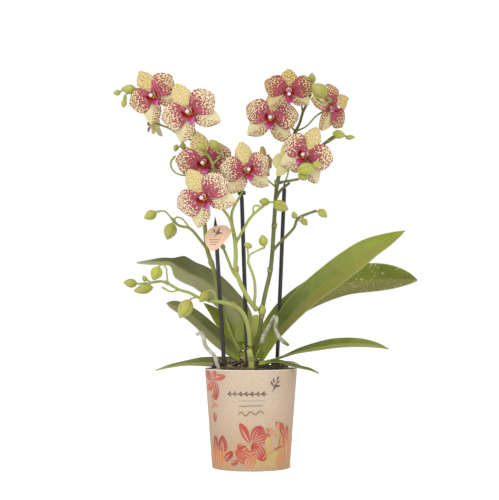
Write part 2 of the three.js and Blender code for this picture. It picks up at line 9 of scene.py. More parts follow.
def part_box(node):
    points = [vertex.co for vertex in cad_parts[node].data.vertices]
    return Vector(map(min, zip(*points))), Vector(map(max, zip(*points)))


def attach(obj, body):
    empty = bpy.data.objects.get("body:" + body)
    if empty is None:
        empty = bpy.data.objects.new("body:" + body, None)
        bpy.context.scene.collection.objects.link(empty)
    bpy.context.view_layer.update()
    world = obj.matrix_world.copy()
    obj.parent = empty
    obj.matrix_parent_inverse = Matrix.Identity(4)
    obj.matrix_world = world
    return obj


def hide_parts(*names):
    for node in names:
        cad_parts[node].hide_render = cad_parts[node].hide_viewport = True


# A small branching moth orchid in a printed cardboard sleeve.
# Shapes are worked out in millimetres and put in the scene in metres.
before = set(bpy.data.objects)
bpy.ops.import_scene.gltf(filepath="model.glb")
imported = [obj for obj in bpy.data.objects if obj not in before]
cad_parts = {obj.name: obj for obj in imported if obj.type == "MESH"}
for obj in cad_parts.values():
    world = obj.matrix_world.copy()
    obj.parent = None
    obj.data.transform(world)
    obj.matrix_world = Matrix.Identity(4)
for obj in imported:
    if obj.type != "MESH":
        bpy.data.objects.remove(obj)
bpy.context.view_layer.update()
mm = 0.001

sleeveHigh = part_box("pot_sleeve")[1]
sleeveHeight = sleeveHigh.z / mm
rimRadius = sleeveHigh.x / mm
routeRim = 98  # the plant's routes are given for a rim at this height
lift = Vector((0, 0, sleeveHeight - routeRim))
lightLevel = 1.75  # how much light falls on a surface that faces the camera


def tint(red, green, blue):  # a colour as it looks in this light, turned into Blender's own values
    def linear(part):
        part /= 255
        return (part / 12.92 if part < 0.04 else ((part + 0.055) / 1.055) ** 2.4) / lightLevel
    return (linear(red), linear(green), linear(blue), 1)


def step(value, low, high):  # 0 below low, 1 above high, and smooth between them
    share = min(1, max(0, (value - low) / (high - low)))
    return share * share * (3 - 2 * share)


def blendOf(first, second, share):
    return first + (second - first) * share


class Wire:  # an output socket that takes part in sums
    def __init__(self, finish, socket):
        self.finish = finish
        self.socket = socket

    def sum(self, operation, first, second=0.0):
        return self.finish.node("Math", {"operation": operation}, {0: first, 1: second})

    def __add__(self, other):
        return self.sum("ADD", self, other)

    def __radd__(self, other):
        return self.sum("ADD", other, self)

    def __sub__(self, other):
        return self.sum("SUBTRACT", self, other)

    def __rsub__(self, other):
        return self.sum("SUBTRACT", other, self)

    def __mul__(self, other):
        return self.sum("MULTIPLY", self, other)

    def __rmul__(self, other):
        return self.sum("MULTIPLY", other, self)

    def __abs__(self):
        return self.sum("ABSOLUTE", self)


class Finish:  # a material and the nodes in it
    def __init__(self, name, **sockets):
        self.material = bpy.data.materials.new(name)
        self.material.use_nodes = True
        self.tree = self.material.node_tree
        self.shader = self.tree.nodes["Principled BSDF"]
        for label, value in sockets.items():
            self.feed(label.replace("_", " "), value)

    def node(self, kind, settings=None, sockets=None, output=0):
        made = self.tree.nodes.new("ShaderNode" + kind)
        for label, value in (settings or {}).items():
            if label == "stops":
                while len(made.color_ramp.elements) < len(value):
                    made.color_ramp.elements.new(1)
                for element, (place, colour) in zip(made.color_ramp.elements, value):
                    element.position = place
                    element.color = colour
            else:
                setattr(made, label, value)
        for label, value in (sockets or {}).items():
            self.join(value, made.inputs[label])
        return Wire(self, made.outputs[output])

    def join(self, value, socket):
        if isinstance(value, Wire):
            self.tree.links.new(value.socket, socket)
        else:
            socket.default_value = value

    def feed(self, label, value):
        self.join(value, self.shader.inputs[label])

    def mix(self, share, first, second):
        return self.node("Mix", {"data_type": "RGBA"}, {0: share, 6: first, 7: second}, 2)

    def smooth(self, value, low, high):
        return self.node("MapRange", {"interpolation_type": "SMOOTHSTEP"}, {0: value, 1: low, 2: high})

    def mark(self, label):  # the three numbers that each point of a piece carries under that name
        return self.split(self.node("Attribute", {"attribute_name": label}, {}, 1))

    def split(self, vector):
        first = self.node("SeparateXYZ", {}, {0: vector})
        return [Wire(self, socket) for socket in first.socket.node.outputs]

    def place(self, x, y, z=0.0):
        return self.node("CombineXYZ", {}, {0: x, 1: y, 2: z})

    def position(self):
        return self.node("TexCoord", {}, {}, 3)

    def noise(self, vector, scale, detail=3.0, roughness=0.55):
        return self.node("TexNoise", {}, {"Vector": vector, "Scale": scale, "Detail": detail,
                                          "Roughness": roughness})

    def cells(self, vector, scale, dimensions="3D", feature="F1", randomness=1.0):
        return self.node("TexVoronoi", {"voronoi_dimensions": dimensions, "feature": feature},
                         {"Vector": vector, "Scale": scale, "Randomness": randomness})

    def stretch(self, vector, x, y, z):
        return self.node("VectorMath", {"operation": "MULTIPLY"}, {0: vector, 1: (x, y, z)})

    def relief(self, height, distance, strength=0.6):
        bump = self.node("Bump", {}, {"Height": height, "Distance": distance, "Strength": strength})
        self.feed("Normal", bump)


class Shape:  # points, faces and the marks that the materials read
    def __init__(self):
        self.points = []
        self.faces = []
        self.marks = {"map": [], "tone": []}

    def add(self, place, spot=(0, 0, 0), tone=(0, 0, 0)):
        self.points.append(Vector(place))
        self.marks["map"].append(spot)
        self.marks["tone"].append(tone)
        return len(self.points) - 1

    def hoop(self, radius, height, count, spot=(0, 0, 0)):  # a level ring of points
        angles = [2 * math.pi * i / count for i in range(count)]
        return [self.add((radius * math.cos(a), radius * math.sin(a), height), spot) for a in angles]

    def plate(self, front, back):  # a closed thin shell from a front and a back grid
        rows = len(front)
        columns = len(front[0])
        for i in range(rows - 1):
            for j in range(columns - 1):
                self.faces.append((front[i][j], front[i][j + 1], front[i + 1][j + 1], front[i + 1][j]))
                self.faces.append((back[i][j], back[i + 1][j], back[i + 1][j + 1], back[i][j + 1]))
        edge = [(0, j) for j in range(columns)]
        edge += [(i, columns - 1) for i in range(1, rows)]
        edge += [(rows - 1, j) for j in range(columns - 2, -1, -1)]
        edge += [(i, 0) for i in range(rows - 2, 0, -1)]
        for (a, b), (c, d) in zip(edge, edge[1:] + edge[:1]):
            self.faces.append((front[a][b], back[a][b], back[c][d], front[c][d]))

    def loft(self, rings, first=None, last=None):  # a skin over rings, with a middle point at a closed end
        for low, high in zip(rings, rings[1:]):
            for i in range(len(low)):
                j = (i + 1) % len(low)
                self.faces.append((low[i], low[j], high[j], high[i]))
        for ring, middle in ((rings[0], first), (rings[-1], last)):
            if middle is not None:
                for i in range(len(ring)):
                    self.faces.append((ring[i], ring[(i + 1) % len(ring)], middle))


def makePiece(name, shape, finish, slot, *nodes, sharp=50):
    mesh = bpy.data.meshes.new(name)
    mesh.from_pydata([point * mm for point in shape.points], [], shape.faces)
    work = bmesh.new()
    work.from_mesh(mesh)
    bmesh.ops.recalc_face_normals(work, faces=work.faces)
    work.to_mesh(mesh)
    work.free()
    for label, values in shape.marks.items():
        attribute = mesh.attributes.new(label, "FLOAT_VECTOR", "POINT")
        attribute.data.foreach_set("vector", [number for value in values for number in value])
    mesh.shade_smooth()
    mesh.set_sharp_from_angle(angle=math.radians(sharp))
    mesh.materials.append(finish.material)
    piece = bpy.data.objects.new(name, mesh)
    bpy.context.scene.collection.objects.link(piece)
    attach(piece, "root")
    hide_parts(*nodes)
    return piece


def smoothLine(route, spacing):  # a centripetal Catmull-Rom curve through a route
    knots = [Vector(point) + lift for point in route]
    knots = [2 * knots[0] - knots[1]] + knots + [2 * knots[-1] - knots[-2]]
    line = []
    for before, start, end, after in zip(knots, knots[1:], knots[2:], knots[3:]):
        a = max((start - before).length, 1e-3) ** 0.5
        b = max((end - start).length, 1e-3) ** 0.5
        c = max((after - end).length, 1e-3) ** 0.5
        leave = ((start - before) / a - (end - before) / (a + b) + (end - start) / b) * b
        arrive = ((end - start) / b - (after - start) / (b + c) + (after - end) / c) * b
        count = max(2, round((end - start).length / spacing))
        for i in range(count):
            t = i / count
            line.append(start * (2 * t ** 3 - 3 * t ** 2 + 1) + leave * (t ** 3 - 2 * t ** 2 + t)
                        + end * (3 * t ** 2 - 2 * t ** 3) + arrive * (t ** 3 - t ** 2))
    line.append(knots[-2])
    return line


def evenLine(route, count):  # the same curve as count + 1 points at even distances
    fine = smoothLine(route, 0.5)
    reach = [0]
    for first, second in zip(fine, fine[1:]):
        reach.append(reach[-1] + (second - first).length)
    line = []
    at = 0
    for i in range(count + 1):
        wanted = reach[-1] * i / count
        while at < len(fine) - 2 and reach[at + 1] < wanted:
            at += 1
        share = (wanted - reach[at]) / max(reach[at + 1] - reach[at], 1e-6)
        line.append(fine[at].lerp(fine[at + 1], share))
    return line, reach[-1]


def addTube(shape, route, radiusAt, sides=10, spacing=2.0, tone=(0, 0, 0), around=None):
    rough = smoothLine(route, 1)
    total = sum((b - a).length for a, b in zip(rough, rough[1:]))
    count = max(4, round(total / spacing))
    line, total = evenLine(route, count)
    side = None
    rings = []
    caps = []
    for i, place in enumerate(line):
        heading = (line[min(i + 1, count)] - line[max(i - 1, 0)]).normalized()
        if side is None:
            side = heading.cross(Vector((0.3, 1, 0.2))).normalized()
        side = (side - heading * side.dot(heading)).normalized()
        up = heading.cross(side)
        share = i / count
        radius = radiusAt(share, share * total)
        stations = [(0, 1)]
        if i == 0:
            stations = [(-0.8, 0.45), (-0.45, 0.85), (0, 1)]
        if i == count:
            stations = [(0, 1), (0.45, 0.85), (0.8, 0.45)]
        for ahead, wide in stations:
            ring = []
            for j in range(sides):
                angle = 2 * math.pi * j / sides
                reach = radius * wide * (around(angle, share) if around else 1)
                out = side * math.cos(angle) + up * math.sin(angle)
                spot = place + heading * radius * ahead + out * reach
                ring.append(shape.add(spot, (share * total, share, radius), tone))
            rings.append(ring)
        if i in (0, count):
            tip = place + heading * radius * (0.9 if i else -0.9)
            caps.append(shape.add(tip, (share * total, share, radius), tone))
    shape.loft(rings, caps[0], caps[1])
    return line, total


def addEgg(shape, centre, along, length, width, sides=18, rows=14, ridges=0.0, sharpness=1.0, tone=(0, 0, 0),
           flat=1.0, raw=False):
    heading = Vector(along).normalized()
    side = heading.cross(Vector((0.2, 0.9, 0.35))).normalized()
    up = heading.cross(side)
    middle = Vector(centre) + (Vector() if raw else lift)
    rings = []
    for i in range(1, rows):
        t = i / rows
        reach = width / 2 * math.sin(math.pi * t ** 0.85) ** sharpness
        ring = []
        for j in range(sides):
            angle = 2 * math.pi * j / sides
            swell = 1 + ridges * math.cos(3 * angle)
            spot = (middle + heading * length * (t - 0.5)
                    + (side * math.cos(angle) * swell + up * math.sin(angle) * swell * flat) * reach)
            ring.append(shape.add(spot, (t, math.cos(3 * angle), math.sin(angle)), tone))
        rings.append(ring)
    foot = shape.add(middle - heading * length / 2, (0, 0, 0), tone)
    tip = shape.add(middle + heading * length / 2, (1, 0, 0), tone)
    shape.loft(rings, foot, tip)


def addPlate(shape, rows, columns, placeAt, thicknessAt, marksAt, sideOf=float):
    # placeAt(u, v) gives a point and the way that its front faces
    front = []
    back = []
    for i in range(rows + 1):
        u = 1 - (1 - i / rows) ** 1.5
        frontRow = []
        backRow = []
        for j in range(columns + 1):
            v = math.sin(math.pi / 2 * (2 * j / columns - 1)) * 0.6 + (2 * j / columns - 1) * 0.4
            place, facing = placeAt(u, v)
            half = thicknessAt(u, v) / 2
            spot, tone = marksAt(u, v)
            frontRow.append(shape.add(place + facing * half, spot, (*tone, sideOf(1))))
            backRow.append(shape.add(place - facing * half, spot, (*tone, sideOf(0))))
        front.append(frontRow)
        back.append(backRow)
    shape.plate(front, back)


# camera, light and floor
view = {
    "stand": (-0.0015, -1.33, 0.156),
    "tilt": 2.58,  # degrees up from level
    "lens": 95.76,
    "world": 1.0,
    "lights": {
        "key": {"stand": (-0.7, -1.1, 1.25), "power": 17.0, "size": 0.9},
        "fill": {"stand": (1.1, -0.8, 0.6), "power": 5.0, "size": 1.1},
    },
    "aim": (0, 0, 0.2),
    "floor": [(-4, -3, 0), (4, -3, 0), (4, 4, 0), (-4, 4, 0)],
}


def setStage():
    camera = bpy.data.objects.new("camera", bpy.data.cameras.new("camera"))
    bpy.context.scene.collection.objects.link(camera)
    camera.location = view["stand"]
    camera.rotation_euler = (math.radians(90 + view["tilt"]), 0, 0)
    camera.data.lens = view["lens"]
    camera.data.sensor_width = 36
    camera.data.clip_start = 0.05
    bpy.context.scene.camera = camera
    bpy.context.scene.view_settings.view_transform = "Standard"
    world = bpy.data.worlds.new("world")
    bpy.context.scene.world = world
    world.use_nodes = True
    world.node_tree.nodes["Background"].inputs["Color"].default_value = (1, 1, 1, 1)
    world.node_tree.nodes["Background"].inputs["Strength"].default_value = view["world"]
    for name, given in view["lights"].items():
        light = bpy.data.lights.new(name, "AREA")
        light.energy = given["power"]
        light.size = given["size"]
        lamp = bpy.data.objects.new(name, light)
        lamp.location = given["stand"]
        aim = Vector(view["aim"]) - Vector(given["stand"])
        lamp.rotation_euler = aim.to_track_quat("-Z", "Y").to_euler()
        bpy.context.scene.collection.objects.link(lamp)
    floorFinish = Finish("floorPaper", Base_Color=(0.93, 0.93, 0.93, 1), Roughness=0.9,
                         Emission_Color=(1, 1, 1, 1), Emission_Strength=0.2)
    mesh = bpy.data.meshes.new("floor")
    mesh.from_pydata(view["floor"], [], [(0, 1, 2, 3)])
    mesh.materials.append(floorFinish.material)
    floor = bpy.data.objects.new("floor", mesh)
    bpy.context.scene.collection.objects.link(floor)


setStage()
print("stage set")


# finishes of the plant
def leafFinish():
    finish = Finish("leafSkin", Roughness=0.42, Specular_IOR_Level=0.22)
    u, v, speck = finish.mark("map")
    shade, warm, side = finish.mark("tone")
    streak = finish.noise(finish.place(u * 5, v * 26), 1.0, 4)
    cloud = finish.noise(finish.position(), 55, 2)
    # shade, from each leaf's marks, carries painted light and shade along the blade and across the rib
    light = shade + (streak - 0.5) * 0.35 + (cloud - 0.5) * 0.35
    green = finish.mix(finish.smooth(light, 0.0, 1.0), tint(72, 86, 0), tint(166, 178, 44))
    green = finish.mix(warm, green, tint(156, 146, 82))
    rib = finish.smooth(abs(v), 0.035, 0.0)
    green = finish.mix(rib * 0.55, green, tint(160, 168, 92))
    rim = finish.smooth(abs(v), 0.93, 0.99)
    green = finish.mix(rim * 0.6, green, tint(178, 184, 110))
    under = finish.mix(finish.smooth(light, 0.0, 1.0), tint(92, 92, 46), tint(168, 168, 124))
    under = finish.mix(warm, under, tint(184, 178, 142))
    under = finish.mix(rib * 0.5, under, tint(166, 168, 112))
    green = finish.mix(side, under, green)
    foot = finish.smooth(u + (cloud - 0.5) * 0.12, 0.24, 0.03)
    green = finish.mix(foot * 0.8, green, tint(184, 196, 84))
    dots = finish.cells(finish.position(), 300)
    grain = finish.smooth(dots, 0.24, 0.16) * speck * finish.smooth(u, 0.4, 0.7)
    green = finish.mix(grain * 0.8, green, tint(228, 230, 205))
    finish.feed("Base Color", green)
    finish.feed("Roughness", 0.36 + streak * 0.2)
    finish.relief(streak * 0.5 + finish.noise(finish.position(), 900, 2) * 0.3, 0.0002, 0.5)
    return finish


def stemFinish():
    finish = Finish("stemSkin", Roughness=0.45, Specular_IOR_Level=0.3)
    ageAndLight, bract, _ = finish.mark("tone")
    cloud = finish.noise(finish.position(), 60, 3)
    streak = finish.noise(finish.stretch(finish.position(), 1, 1, 0.12), 900, 3)
    ripe = finish.smooth(ageAndLight + (cloud - 0.5) * 0.7, 0.0, 1.0)
    green = finish.mix(ripe, tint(176, 184, 88), tint(98, 102, 40))
    stain = finish.smooth(cloud, 0.58, 0.75) * 0.5 * finish.smooth(ageAndLight, -0.1, 0.1)
    green = finish.mix(stain, green, tint(112, 84, 58))
    # painted light: tone values below zero turn the green bright and pale, lifting the crown and its sheaths
    # out of their shade
    green = finish.mix(finish.smooth(ageAndLight, 0.0, -0.3), green, tint(222, 230, 112))
    green = finish.mix((streak - 0.35) * 0.5, green, tint(188, 190, 122))
    green = finish.mix(bract, green, tint(178, 164, 104))
    finish.feed("Base Color", green)
    finish.feed("Roughness", 0.38 + streak * 0.25)
    finish.relief(streak, 0.00025, 0.5)
    return finish


def budFinish():
    finish = Finish("budSkin", Roughness=0.42, Specular_IOR_Level=0.3)
    along, ridge, _ = finish.mark("map")
    blush, yellow, _ = finish.mark("tone")
    cloud = finish.noise(finish.position(), 140, 3)
    speckle = finish.noise(finish.position(), 1500, 2)
    green = finish.mix(yellow, tint(162, 166, 56), tint(194, 200, 76))
    green = finish.mix(finish.smooth(along + (cloud - 0.5) * 0.5, 0.2, 1.0) * 0.4, green, tint(208, 204, 128))
    green = finish.mix(blush * finish.smooth(cloud, 0.3, 0.75), green, tint(196, 158, 122))
    green = finish.mix(finish.smooth(ridge, -0.8, -1.0) * 0.55, green, tint(122, 116, 52))
    green = finish.mix(finish.smooth(speckle, 0.55, 0.75) * 0.25, green, tint(150, 116, 76))
    finish.feed("Base Color", green)
    finish.relief(speckle + ridge * 0.3, 0.0002, 0.5)
    return finish


def tepalFinish():
    finish = Finish("tepalSkin", Roughness=0.5, Specular_IOR_Level=0.12)
    column, row, ground = finish.mark("map")
    spots, flush, side = finish.mark("tone")
    cell = finish.place(column, row)
    distance = finish.cells(cell, 1.0, "2D", "F1", 0.9)
    ragged = finish.noise(cell, 2.6, 3)
    dots = finish.smooth(spots * 0.62 + (ragged - 0.5) * 0.3 - distance, -0.1, 0.12)
    deep = finish.smooth(flush + (ragged - 0.5) * 0.3, 0.1, 0.75)
    cloud = finish.noise(finish.position(), 160, 3)
    cream = finish.mix(finish.smooth(cloud, 0.3, 0.7), tint(252, 243, 214), tint(246, 232, 188))
    base = finish.mix(ground, cream, tint(230, 210, 112))
    vein = finish.smooth(finish.noise(finish.place(column * 3.2, row * 0.12), 1.0, 2), 0.5, 0.75)
    base = finish.mix(vein * 0.3, base, tint(206, 176, 120))
    spotColour = finish.mix(ground, tint(152, 0, 50), tint(138, 30, 26))
    magenta = finish.mix(finish.smooth(cloud, 0.35, 0.7), tint(152, 0, 60), tint(190, 30, 104))
    front = finish.mix(dots * 0.9, base, finish.mix(deep, spotColour, magenta))
    back = finish.mix(dots * 0.25, finish.mix(0.55, base, tint(246, 240, 166)), spotColour)
    finish.feed("Base Color", finish.mix(finish.smooth(side, 0.3, 0.7), back, front))
    finish.relief(vein * 0.6 + finish.noise(finish.position(), 1400, 2) * 0.6 + dots * 0.2, 0.00018, 0.6)
    return finish


def lipFinish():
    finish = Finish("lipSkin", Roughness=0.33, Specular_IOR_Level=0.4, Coat_Weight=0.1)
    stripe = finish.mark("map")[1]
    place, white, _ = finish.mark("tone")
    cloud = finish.noise(finish.position(), 500, 3)
    colour = finish.node("ValToRGB", {"stops": [
        (0.0, tint(240, 176, 40)), (0.18, tint(214, 70, 10)), (0.4, tint(160, 6, 24)),
        (0.62, tint(178, 22, 92)), (0.82, tint(190, 84, 160)), (1.0, tint(236, 196, 226))]},
        {0: place + (cloud - 0.5) * 0.22})
    lines = finish.smooth(finish.node("Math", {"operation": "SINE"}, {0: stripe * 22}), 0.3, 0.9)
    colour = finish.mix(lines * finish.smooth(place, 0.5, 0.1) * 0.7, colour, tint(112, 8, 14))
    colour = finish.mix(white, colour, tint(246, 240, 236))
    finish.feed("Base Color", colour)
    finish.relief(cloud, 0.0002, 0.4)
    return finish


def rootFinish():
    finish = Finish("rootSkin", Roughness=0.75, Specular_IOR_Level=0.2)
    share = finish.mark("map")[1]
    tip, pale, _ = finish.mark("tone")
    cloud = finish.noise(finish.position(), 240, 4)
    silver = finish.mix(finish.smooth(cloud, 0.32, 0.68), tint(124, 130, 92), tint(204, 202, 186))
    silver = finish.mix(pale, silver, tint(214, 210, 190))
    silver = finish.mix(tip * finish.smooth(share, 0.8, 0.97), silver, tint(112, 130, 48))
    finish.feed("Base Color", silver)
    finish.relief(cloud + finish.noise(finish.position(), 1600, 3) * 0.5, 0.0004, 0.6)
    return finish


leafSkin = leafFinish()
stemSkin = stemFinish()
budSkin = budFinish()
tepalSkin = tepalFinish()
lipSkin = lipFinish()
rootSkin = rootFinish()
print("plant finishes made")


# leaves: spine from base to tip, half the width at the widest, lean of the upper face, fold along the rib
# shade runs from a leaf's base to its tip and the lit half lifts one half of the blade across the rib: partly
# each leaf's own tone, partly painted light and shade
plainLeaf = {"tail": (0, 0.7, 0.8), "speck": 0, "tip": 0, "flip": 0}  # what a leaf has unless it says
leaves = {
    "leaf_upper_left": {
        "spine": [(-7, 12, 124), (-8, 14, 140), (-14, 14, 154), (-27, 13, 168), (-40, 11, 180), (-52, 9, 188),
                  (-62, 7, 192.5), (-72, 5, 198.5), (-80, 3, 203.5), (-89, 2, 204.5), (-101, 0, 203.5),
                  (-114, -3, 203)],
        "half": 19, "lean": 40, "fold": 0.16, "peak": 0.55, "blunt": 1.5, "foot": 0.4,
        "tail": (0.62, 0.7, 0.78), "shade": (0.5, 0.2), "litHalf": (0.3, 0.9), "tip": 0.7, "flip": 0.75},
    "leaf_middle_left": {
        "spine": [(-11, 6, 107), (-21, 5, 115), (-31, 4, 124.5), (-41, 3, 134), (-51, 1, 143.5),
                  (-61, -1, 151.5), (-71, -3, 157.5), (-84, -6, 162.5)],
        "half": 11, "lean": 36, "fold": 0.2, "peak": 0.45, "blunt": 4, "foot": 0.5,
        "shade": (0.35, 0.5), "litHalf": (0.5, 0.9), "tip": 0.35, "flip": 0.6},
    "leaf_low_left": {
        "spine": [(-11, 5, 103), (-23, 5, 103.3), (-36, 4, 103.3), (-51, 2, 103.5), (-66, 0, 102.5),
                  (-81, -3, 100), (-95, -6, 96)],
        "half": 9, "lean": 32, "fold": 0.2, "peak": 0.25, "blunt": 0.9, "foot": 0.8,
        "tail": (0.4, 0.4, 0.7), "shade": (0.35, 0.55), "litHalf": (0.2, 0.4),
        "speck": 0.1, "tip": 0.3, "flip": 0.5},
    "leaf_inner_left": {
        "spine": [(-8, 17, 116), (-17, 20, 129.5), (-27, 22, 142), (-37, 23, 153), (-48, 22, 163)],
        "half": 10, "lean": 38, "fold": 0.25, "peak": 0.4, "blunt": 1.2, "foot": 0.7,
        "shade": (0.85, 0.8), "litHalf": (0.1, 0.4), "tip": 0.1},
    "leaf_young": {
        "spine": [(0, 18, 112), (-3, 26, 124), (-7, 31, 134), (-11, 35, 143)],
        "half": 4.5, "lean": 34, "fold": 0.3, "peak": 0.4, "blunt": 1.3, "foot": 0.7,
        "shade": (0.25, 0.35), "litHalf": (0.1, 0.3), "tip": 0.1},
    "leaf_front_right": {
        "spine": [(9, -2, 107), (19, -4, 124.5), (29, -7, 138), (43.5, -10, 155), (58, -12, 169.5),
                  (78, -14, 185.5), (98, -15, 201), (118, -16, 215.5), (133, -17, 223.5), (152, -18, 234)],
        "half": 15.5, "lean": 46, "fold": 0.46, "peak": 0.62, "blunt": 1.3, "foot": 0.3,
        "shade": (0.14, 0.62), "litHalf": (0.45, 0.2)},
    "leaf_back_right": {
        "spine": [(8, 12, 120), (19, 21.5, 134), (35, 27, 151), (50, 30, 162), (71, 32, 173.5),
                  (96, 32, 182.5), (127, 30, 186.5), (152, 26, 187), (169, 22, 186)],
        "half": 20, "lean": 48, "fold": 0.5, "peak": 0.66, "blunt": 1.6, "foot": 0.3,
        "shade": (0.35, 0.42), "litHalf": (0.7, 0.4), "speck": 1.0},
    "leaf_low_right": {
        "spine": [(11.5, -4, 104), (29, -6, 109.2), (48.5, -8, 115), (68.5, -10, 119.3), (83, -11, 121.8),
                  (98, -12, 122.8), (113, -13, 122.3), (126, -14, 120.3), (136, -15, 117.5)],
        "half": 10.5, "lean": 24, "fold": 0.25, "peak": 0.66, "blunt": 1.3, "foot": -0.45,
        "shade": (0.2, 0.5), "litHalf": (0.55, 0.4)},
    "leaf_rim_right": {
        "spine": [(8, -20, 103), (20, -22, 105), (29, -23, 105), (38.5, -24.5, 102.2), (48, -25, 100),
                  (58, -25, 97.8), (66.5, -25, 94)],
        "half": 5, "lean": 15, "fold": 0.2, "peak": 0.3, "blunt": 1.2, "foot": 0.8,
        "shade": (0.1, 0.35), "litHalf": (0, 0.1)},
}


def leafOutline(leaf, u):
    if u < leaf["peak"]:
        return max(0.12, leaf["foot"] + (1 - leaf["foot"]) * math.sin(math.pi / 2 * u / leaf["peak"]))
    end = math.cos(math.pi / 2 * ((u - leaf["peak"]) / (1 - leaf["peak"])) ** leaf["blunt"])
    less, start, finished = leaf["tail"]
    return max(0.03, end) ** 0.8 * (1 - less * step(u, start, finished))


def makeLeaf(name, leaf, draw):
    count = 60
    line, _ = evenLine(leaf["spine"], count)
    lean = math.radians(leaf["lean"])
    facing = Vector((0, -math.sin(lean), math.cos(lean)))
    wave = draw.uniform(0, 6)
    fold = leaf["fold"]

    def placeAt(u, v):
        at = u * count
        low = min(count - 1, int(at))
        middle = line[low].lerp(line[low + 1], at - low)
        heading = (line[min(count, low + 2)] - line[max(0, low - 1)]).normalized()
        normal = (facing - heading * facing.dot(heading)).normalized()
        across = normal.cross(heading)
        width = leaf["half"] * leafOutline(leaf, u)
        wide = abs(v)
        bend = (wide ** 2 + 0.02) ** 0.5 - 0.14  # a fold with a round bottom
        rise = fold * width * bend * (1 - 0.6 * u)
        rise += 0.35 * math.sin(7 * u + wave + 1.5 * v) * wide
        rise -= 0.55 * math.exp(-(v * width / 0.9) ** 2) * step(1 - u, 0, 0.2)
        slope = fold * (1 if v > 0 else -1) * min(1, wide * 4) * (1 - 0.6 * u)
        front = (normal - across * slope).normalized()
        return middle + across * v * width + normal * rise, front

    def thicknessAt(u, v):
        return blendOf(2.6, 0.9, abs(v) ** 1.5) * blendOf(1, 0.6, u)

    def marksAt(u, v):
        shade = blendOf(leaf["shade"][0], leaf["shade"][1], step(u, 0.1, 0.95))
        # painted light: one half of the blade across the rib made lighter and warmer
        litHalf = step(-v if line[-1].x > 0 else v, -0.05, 0.1)
        shade += litHalf * leaf["litHalf"][1] * 0.5
        warm = litHalf * leaf["litHalf"][0] + leaf["tip"] * step(u, 0.82, 0.95)
        return (u, v, leaf["speck"]), (shade, min(1, warm))

    def sideOf(side):
        return abs(side - leaf["flip"])

    shape = Shape()
    addPlate(shape, 54, 18, placeAt, thicknessAt, marksAt, sideOf)
    makePiece(name + "_blade", shape, leafSkin, "leaf", name)


draw = random.Random(7)
for name, leaf in leaves.items():
    makeLeaf(name, {**plainLeaf, **leaf}, draw)
print("leaves made")


# crown, cut stub and roots
crown = {"route": [(-1, 3, 100), (0, 3, 112), (2, 3, 128), (5, 3, 148)], "width": 11, "sheaths": 7}
stub = {"route": [(0.5, -25, 98.6), (0, -25, 107), (-1.5, -25, 116)], "width": 6.4}
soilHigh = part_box("bark_substrate")[1]
roots = {
    "root_left": {
        "route": [(-53, -14, 132), (-50, -15, 133.5), (-47, -16, 130), (-45, -18, 121), (-41, -19, 116),
                  (-37, -20, 112), (-34.5, -20, 108), (-33.5, -19, 103), (-31.3, -19.6, 98)],
        "width": 4.2, "pale": 0.5, "tip": 0.0},
    "root_right_inner": {
        "route": [(23, -24, 150), (17, -24, 139), (12, -23, 129), (9.5, -22, 121)],
        "width": 4.2, "pale": 0.0, "tip": 1.0},
    "root_right_outer": {
        "route": [(25, -29, 149), (24, -31, 137), (27, -32, 130), (32, -33, 125), (36, -33, 122)],
        "width": 4.2, "pale": 0.1, "tip": 1.0},
    "root_rim": {
        "route": [(22, 2, 103), (34, -2, 104.5), (42, -5, 104), (50, -8, 100)],
        "width": 2.2, "pale": 0.8, "tip": 0.0},
}


def makeCrown():
    shape = Shape()
    half = crown["width"] / 2
    # the crown's tone below zero is painted light
    addTube(shape, crown["route"], lambda share, travelled: half * (0.96 - 0.25 * share), 20, 1.5,
            (-0.12, 0, 1), lambda angle, share: 0.86 + 0.14 * abs(math.cos(angle)) ** 0.6)
    line, total = evenLine(crown["route"], 40)
    for i in range(crown["sheaths"]):  # leaf bases that clasp the crown, left and right in turn
        start = 3 + i * 4.2
        side = 1 if i % 2 else -1

        def placeAt(u, v, start=start, side=side):
            middle = line[min(40, int(start + u * 6))]
            angle = v * 1.9 * (1 - 0.75 * u ** 2)
            reach = half * (1.02 + 0.16 * u)
            way = Vector((side * math.cos(angle), math.sin(angle), 0.15))
            flare = Vector((side * (3.6 - 0.1 * start) * (0.25 + u), -5 * u, 0))
            height = line[0].z - 1 + (start * 0.62 + u * 12) * total / 40
            return Vector((middle.x, middle.y, height)) + way * reach + flare, way

        # the sheaths' tone below zero is painted light
        addPlate(shape, 10, 12, placeAt, lambda u, v: 0.9 - 0.5 * u,
                 lambda u, v: ((u * 10, u, 1), (-0.4 + 0.5 * abs(v) ** 3, 0.1 * u)))
    makePiece("crown_sheaths", shape, stemSkin, "stem", "crown")


